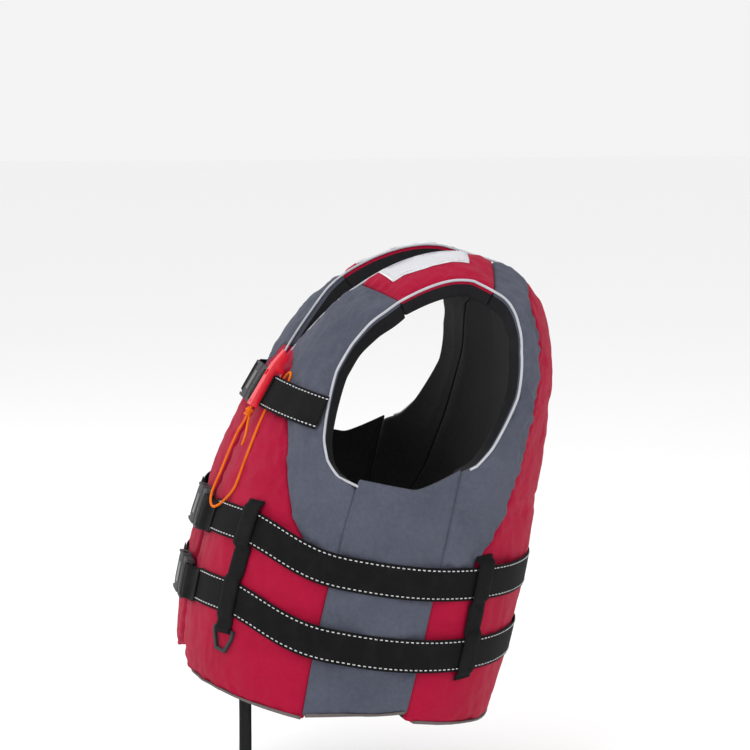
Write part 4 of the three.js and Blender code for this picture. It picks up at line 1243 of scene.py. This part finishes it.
# %% Raised details on the moulded parts
def raised_bar(name, place, centre, size, finish, body, slot="plastic", bevel=0.0006):
    """A low rounded bar, modelled flat and set on a surface given by a matrix. Sizes in millimetres."""
    bpy.ops.object.select_all(action="DESELECT")
    bpy.ops.mesh.primitive_cube_add(size=1)
    piece = bpy.context.object
    piece.name = piece.data.name = name
    bpy.ops.object.mode_set(mode="EDIT")
    bpy.ops.transform.resize(value=[s / 1000 for s in size])
    bpy.ops.mesh.select_all(action="DESELECT")
    bpy.ops.object.mode_set(mode="OBJECT")
    for polygon in piece.data.polygons:
        polygon.select = polygon.normal.z > 0.9
    bpy.ops.object.mode_set(mode="EDIT")
    bpy.ops.mesh.select_mode(type="FACE")
    bpy.ops.mesh.inset(thickness=min(size[:2]) / 6000)
    bpy.ops.transform.translate(value=(0, 0, size[2] / 4000))
    bpy.ops.object.mode_set(mode="OBJECT")
    modifier = piece.modifiers.new("round", "BEVEL")
    modifier.width, modifier.segments = bevel, 3
    modifier.use_clamp_overlap = True
    apply_modifiers(piece)
    piece.data.transform(place @ Matrix.Translation([c / 1000 for c in centre]))
    only(piece)
    bpy.ops.object.shade_smooth_by_angle(angle=math.radians(40))
    return finish_piece(piece, body, slot, finish)


for name, z in (("chest", CHEST_Z), ("upper", UPPER_Z), ("lower", LOWER_Z)):
    place = surface_frame(0, z, BUCKLE_LIFT + BUCKLE_THICK)
    raised_bar(name + "_buckle_pad", place, (-6, 0, 0.2), (15, 24, 0.9), black_plastic, "front_right")
    male = surface_frame(0, z, BUCKLE_LIFT + BUCKLE_THICK - 0.6)
    for k in range(3):
        raised_bar(f"{name}_buckle_rib_{k}", male, (10 + 3.6 * k, 0, 0.2), (1.7, 30, 0.8), black_plastic,
                   "front_left", bevel=0.0003)
WHISTLE_X, WHISTLE_LOW, WHISTLE_THICK, WHISTLE_BOTTOM = 54, 8.9, 11, -24


def slim_whistle(piece):
    """The barrel is slimmer than its packed block, and draws out into a thin mouthpiece at the top."""
    place = surface_frame(WHISTLE_X, CHEST_Z)
    back, middle = place.inverted(), (WHISTLE_LOW + WHISTLE_THICK / 2) / 1000
    for vertex in piece.data.vertices:
        p = back @ vertex.co
        top = ease(0.004, 0.034, p.y)
        p.x *= 0.8 - 0.25 * top
        if p.z > WHISTLE_LOW / 1000 - 0.001:
            p.z = middle + (p.z - middle) * (0.84 - 0.3 * top)
        p.y += 0.008 * top
        vertex.co = place @ p
    piece.data.update()


slim_whistle(whistle)
print("moulded parts rounded")

# %% [markdown]
# ## Zip
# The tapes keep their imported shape. The teeth are small moulded blocks, set alternately on the two tapes
# so that they mesh on the centre line.

# %% Zip teeth
ZIP_DEPTH, ZIP_TOP, ZIP_BOTTOM, TOOTH_PITCH = 12, -267, -586, 3.4


def zip_teeth(hand, side, offset):
    points, faces = [], []
    for along in np.arange(ZIP_BOTTOM + 2 + offset, ZIP_TOP - 18, TOOTH_PITCH):
        point, normal = panel_place(0, along)
        up = (panel_place(0, along + 1)[0] - point).normalized()
        across = Vector((side, 0, 0))
        base = len(points)
        centre = point - normal * (ZIP_DEPTH - 0.1) / 1000
        for out, half in ((0.0, 0.95), (0.0011, 0.6)):
            for u, v in ((0.3, -half), (4.2, -half), (4.2, half), (0.3, half)):
                points.append(centre + across * u / 1000 + up * v / 1000 + normal * out)
        block = [[0, 3, 2, 1], [4, 5, 6, 7], [0, 1, 5, 4], [1, 2, 6, 5], [2, 3, 7, 6], [3, 0, 4, 7]]
        faces += [[base + k for k in (face if side > 0 else face[::-1])] for face in block]
    piece = new_piece("zip_teeth_" + hand, points, faces)
    finish_piece(piece, "front_" + hand, "plastic", black_plastic)


for hand, side in HANDS.items():
    zip_teeth(hand, side, 0 if side > 0 else TOOTH_PITCH / 2)

# %% [markdown]
# ## Reflective patches
# A patch of silver tape is stitched on each shoulder, towards the neck. It is laid on the swollen strap by
# looking down onto the cloth.

# %% Reflective patches
def patch(name, rows=26, columns=11):
    points, faces, uvs, normals = [], [], [], []
    for j in range(rows + 1):
        along = -106 + 100 * j / rows
        for i in range(columns + 1):
            x = NECK_HALF + 3.5 + (38 - 4 * ease(-60, -6, along)) * i / columns
            point, normal = panel_place(x, along + strap_slant(x, along))
            points.append(point + normal * (cloth_height(point, normal) + 0.0006))
            normals.append(normal)
            uvs.append((x / 1000, along / 1000))
    at = lambda j, i: j * (columns + 1) + i
    for j in range(rows):
        for i in range(columns):
            faces.append([at(j, i), at(j, i + 1), at(j + 1, i + 1), at(j + 1, i)])
    piece = new_piece(name, points, faces, [0] * len(faces), uvs)
    thick = piece.modifiers.new("tape", "SOLIDIFY")
    thick.thickness, thick.offset = 0.0006, 0
    apply_modifiers(piece)
    inset = lambda j, i: (points[at(j, i)] + normals[at(j, i)] * 0.0005, normals[at(j, i)])
    loop = [inset(1, i) for i in range(1, columns)] + [inset(j, columns - 1) for j in range(1, rows)]
    loop += [inset(rows - 1, i) for i in range(columns - 1, 0, -1)]
    loop += [inset(j, 1) for j in range(rows - 1, 0, -1)]
    line = resampled([p for p, _ in loop], 0.0009)
    marks = np.linspace(0, len(loop) - 1, len(line))
    normals = [loop[int(m)][1] for m in marks]
    return add_stitches(piece, [(line, normals)], dash=0.0026, gap=0.0018, width=0.0008)


left_patch = patch("reflective_tape_left")
right_patch = mirror_copy(left_patch, "reflective_tape_right")
for hand, piece in (("left", left_patch), ("right", right_patch)):
    finish_piece(piece, "soft_join:" + hand, "reflective", reflective_tape, white_thread)
    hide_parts("reflective_patch_" + hand)

# %% [markdown]
# ## Whistle cord
# The cord is one free length of braid. It leaves the lower end of the whistle, hangs in a narrow loop over
# the upper waist belt, and goes up behind the chest belt to where it is sewn in. Its points follow the
# packed route, with a fuller loop. The knot and its tail are separate short pieces on it.

# %% Whistle cord
CORD_DIAMETER = 3
CORD_ROUTE = [
    (46, -222, 11), (36, -236, 9), (29, -250, 7), (26, -266, 6), (27, -282, 6), (32, -297, 8),
    (40, -310, 11), (50, -319, 12.5), (61, -323, 12.5), (71, -319, 11.5), (79, -308, 8.5), (83, -295, 5.6),
    (84, -281, 3.8), (83, -266, 3), (82, -251, 2.6), (80, -236, 2.3), (77, -221, 2.1), (74, -206, 2),
    (71, -191, 2), (69, -177, 2), (68, -166, 2.2), (70, -157.5, 2.5), (75.5, -153.5, 2.6), (81, -157.5, 2.4),
    (83, -166, 2), (83, -173, 2),
]
whistle_place = surface_frame(WHISTLE_X, CHEST_Z)
cord_exit = [whistle_place @ Vector((0, (WHISTLE_BOTTOM + y) / 1000, (WHISTLE_LOW + WHISTLE_THICK / 2) / 1000))
             for y in (-0.4, -8)]
cord_points = list(cord_exit)
for x, z, height in CORD_ROUTE:
    point, normal = girth_place(front_angle(x), z)
    under = over_tree if z < -300 else cloth_tree
    cord_points.append(point + normal * max(height / 1000, cloth_height(point, normal, under) + 0.0013))
cord_line = resampled(catmull(cord_points, 8), 0.0018)
cord = tube("whistle_cord_braid", cord_line, CORD_DIAMETER / 2000, sides=10)
finish_piece(cord, "front_left", "cord", orange_cord)
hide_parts("whistle_cord")


def overhand_knot():
    """Three fat turns of the same cord round its own line, under the whistle."""
    down = (cord_exit[1] - cord_exit[0]).normalized()
    side = down.orthogonal().normalized()
    front = down.cross(side)
    middle = cord_exit[0] + down * 0.007
    turns = []
    for k in range(73):
        angle = 3 * 2 * math.pi * k / 72
        radius = 0.0031 + 0.0006 * math.sin(angle / 3)
        turns.append(middle + down * 0.0042 * (2 * k / 72 - 1)
                     + radius * (math.cos(angle) * side + math.sin(angle) * front))
    return tube("whistle_cord_knot", turns, 0.00145, sides=8)


def cord_tail():
    """The doubled end that sticks out of the knot."""
    x0, z0 = 53, -214
    route = [(x0, z0, 11), (x0 + 3, z0 - 10, 9.5), (x0 + 5, z0 - 22, 6.5), (x0 + 4, z0 - 34, 5)]
    line = []
    for x, z, height in route:
        point, normal = girth_place(front_angle(x), z)
        line.append(point + normal * max(height / 1000, cloth_height(point, normal) + 0.0018))
    return tube("whistle_cord_tail", resampled(catmull(line, 8), 0.002), 0.00145, sides=8)


knot, tail = overhand_knot(), cord_tail()
for piece in (knot, tail):
    finish_piece(piece, "front_left", "cord", orange_cord)

# %% [markdown]
# ## Crotch strap
# The strap is sewn inside the left front panel and hangs plumb. Its lower end is folded round the bar of
# its buckle half.

# %% Crotch strap
CROTCH_X, CROTCH_TOP, CROTCH_DROP, CROTCH_WIDTH, CROTCH_BAR = 106, -478, 175, 25, 2.4
CROTCH_LOOP = CROTCH_BAR * math.sqrt(2) + 0.3 + BELT_THICK / 2


def crotch_frame():
    point, normal = girth_place(front_angle(CROTCH_X), CROTCH_TOP)
    origin = point - normal * (FRONT_THICK + BELT_THICK / 2 + 2.6) / 1000
    y = normal.y * math.cos(LEAN) - normal.z * math.sin(LEAN)
    return Matrix.Translation(origin) @ Matrix.Rotation(math.atan2(normal.x, -y), 4, "Z")


def crotch_edges():
    bar, sewn = -CROTCH_DROP, BELT_THICK + 0.4
    path = [(0, 0), (0, -24), (0.6, -60), (0.6, -100), (0, bar + CROTCH_LOOP + 18), (0, bar + CROTCH_LOOP + 4)]
    path += [(CROTCH_LOOP - CROTCH_LOOP * math.cos(a), bar + CROTCH_LOOP * math.sin(a))
             for a in np.radians(np.linspace(0, -180, 7))]
    path += [(CROTCH_LOOP * 2, bar + 3), (sewn, bar + 12), (sewn, bar + 34)]
    place = crotch_frame()
    half = CROTCH_WIDTH / 2000
    return [[place @ Vector((side * half, y / 1000, z / 1000)) for y, z in path] for side in (1, -1)]


crotch, crotch_tops = strip("crotch_webbing", crotch_edges(), step=0.003)
crotch = add_stitches(crotch, edge_threads(crotch_tops, start=3, stop=50, inset=0.0026))
finish_piece(crotch, "crotch_strap", "webbing", black_webbing, white_thread)
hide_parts("crotch_strap")

# %% [markdown]
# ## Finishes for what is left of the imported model
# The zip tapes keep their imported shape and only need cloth. Every hidden solid still gets a finish.

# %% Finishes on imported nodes
SLOT_FINISH = {"zip_tape": lining_cloth, "lining": lining_cloth, "foam": foam_block, "red_shell": red_shell,
               "grey_shell": grey_shell, "webbing": black_webbing, "reflective": reflective_tape,
               "plastic": black_plastic, "whistle_plastic": whistle_plastic, "cord": orange_cord}
slots = {part["node"]: part["material_slot"] for part in frame["record"]["subparts"]}
for node, solid in nodes.items():
    if solid.material_slots:
        solid.material_slots[0].material = SLOT_FINISH[slots[node]]
    else:
        solid.data.materials.append(SLOT_FINISH[slots[node]])

# %% [markdown]
# ## Floor and light
# A plain pale floor lies just under the crotch strap. Large soft lights stand on both sides, with a little
# more from the front, and the world fills the shadows.

# %% Floor and light
def pale_floor():
    bpy.ops.mesh.primitive_plane_add(size=40, location=(0, 0, cad_low.z - 0.02))
    floor = bpy.context.object
    floor.name = "floor"
    material = bpy.data.materials.new("pale_floor")
    material.use_nodes = True
    shader = material.node_tree.nodes["Principled BSDF"]
    shader.inputs["Base Color"].default_value = (0.98, 0.98, 0.98, 1)
    shader.inputs["Roughness"].default_value = 0.95
    floor.data.materials.append(material)


def soft_light(name, place, power, size):
    towards = Vector((0, -0.1, -0.25)) - Vector(place)
    bpy.ops.object.light_add(type="AREA", location=place, rotation=towards.to_track_quat("-Z", "Y").to_euler())
    light = bpy.context.object
    light.name = name
    light.data.energy, light.data.size = power, size


pale_floor()
soft_light("key", (2.2, -1.9, 1.6), 26, 1.2)
soft_light("fill", (1.9, 1.9, 0.9), 8, 1.8)
soft_light("top", (0.0, -0.2, 2.6), 14, 1.6)
soft_light("front", (-1.6, -2.4, 0.8), 14, 1.6)
world = bpy.data.worlds.new("studio")
world.use_nodes = True
world.node_tree.nodes["Background"].inputs[0].default_value = (1.0, 1.0, 1.0, 1)
world.node_tree.nodes["Background"].inputs[1].default_value = 0.9
scene.world = world
scene.view_settings.view_transform = "Standard"
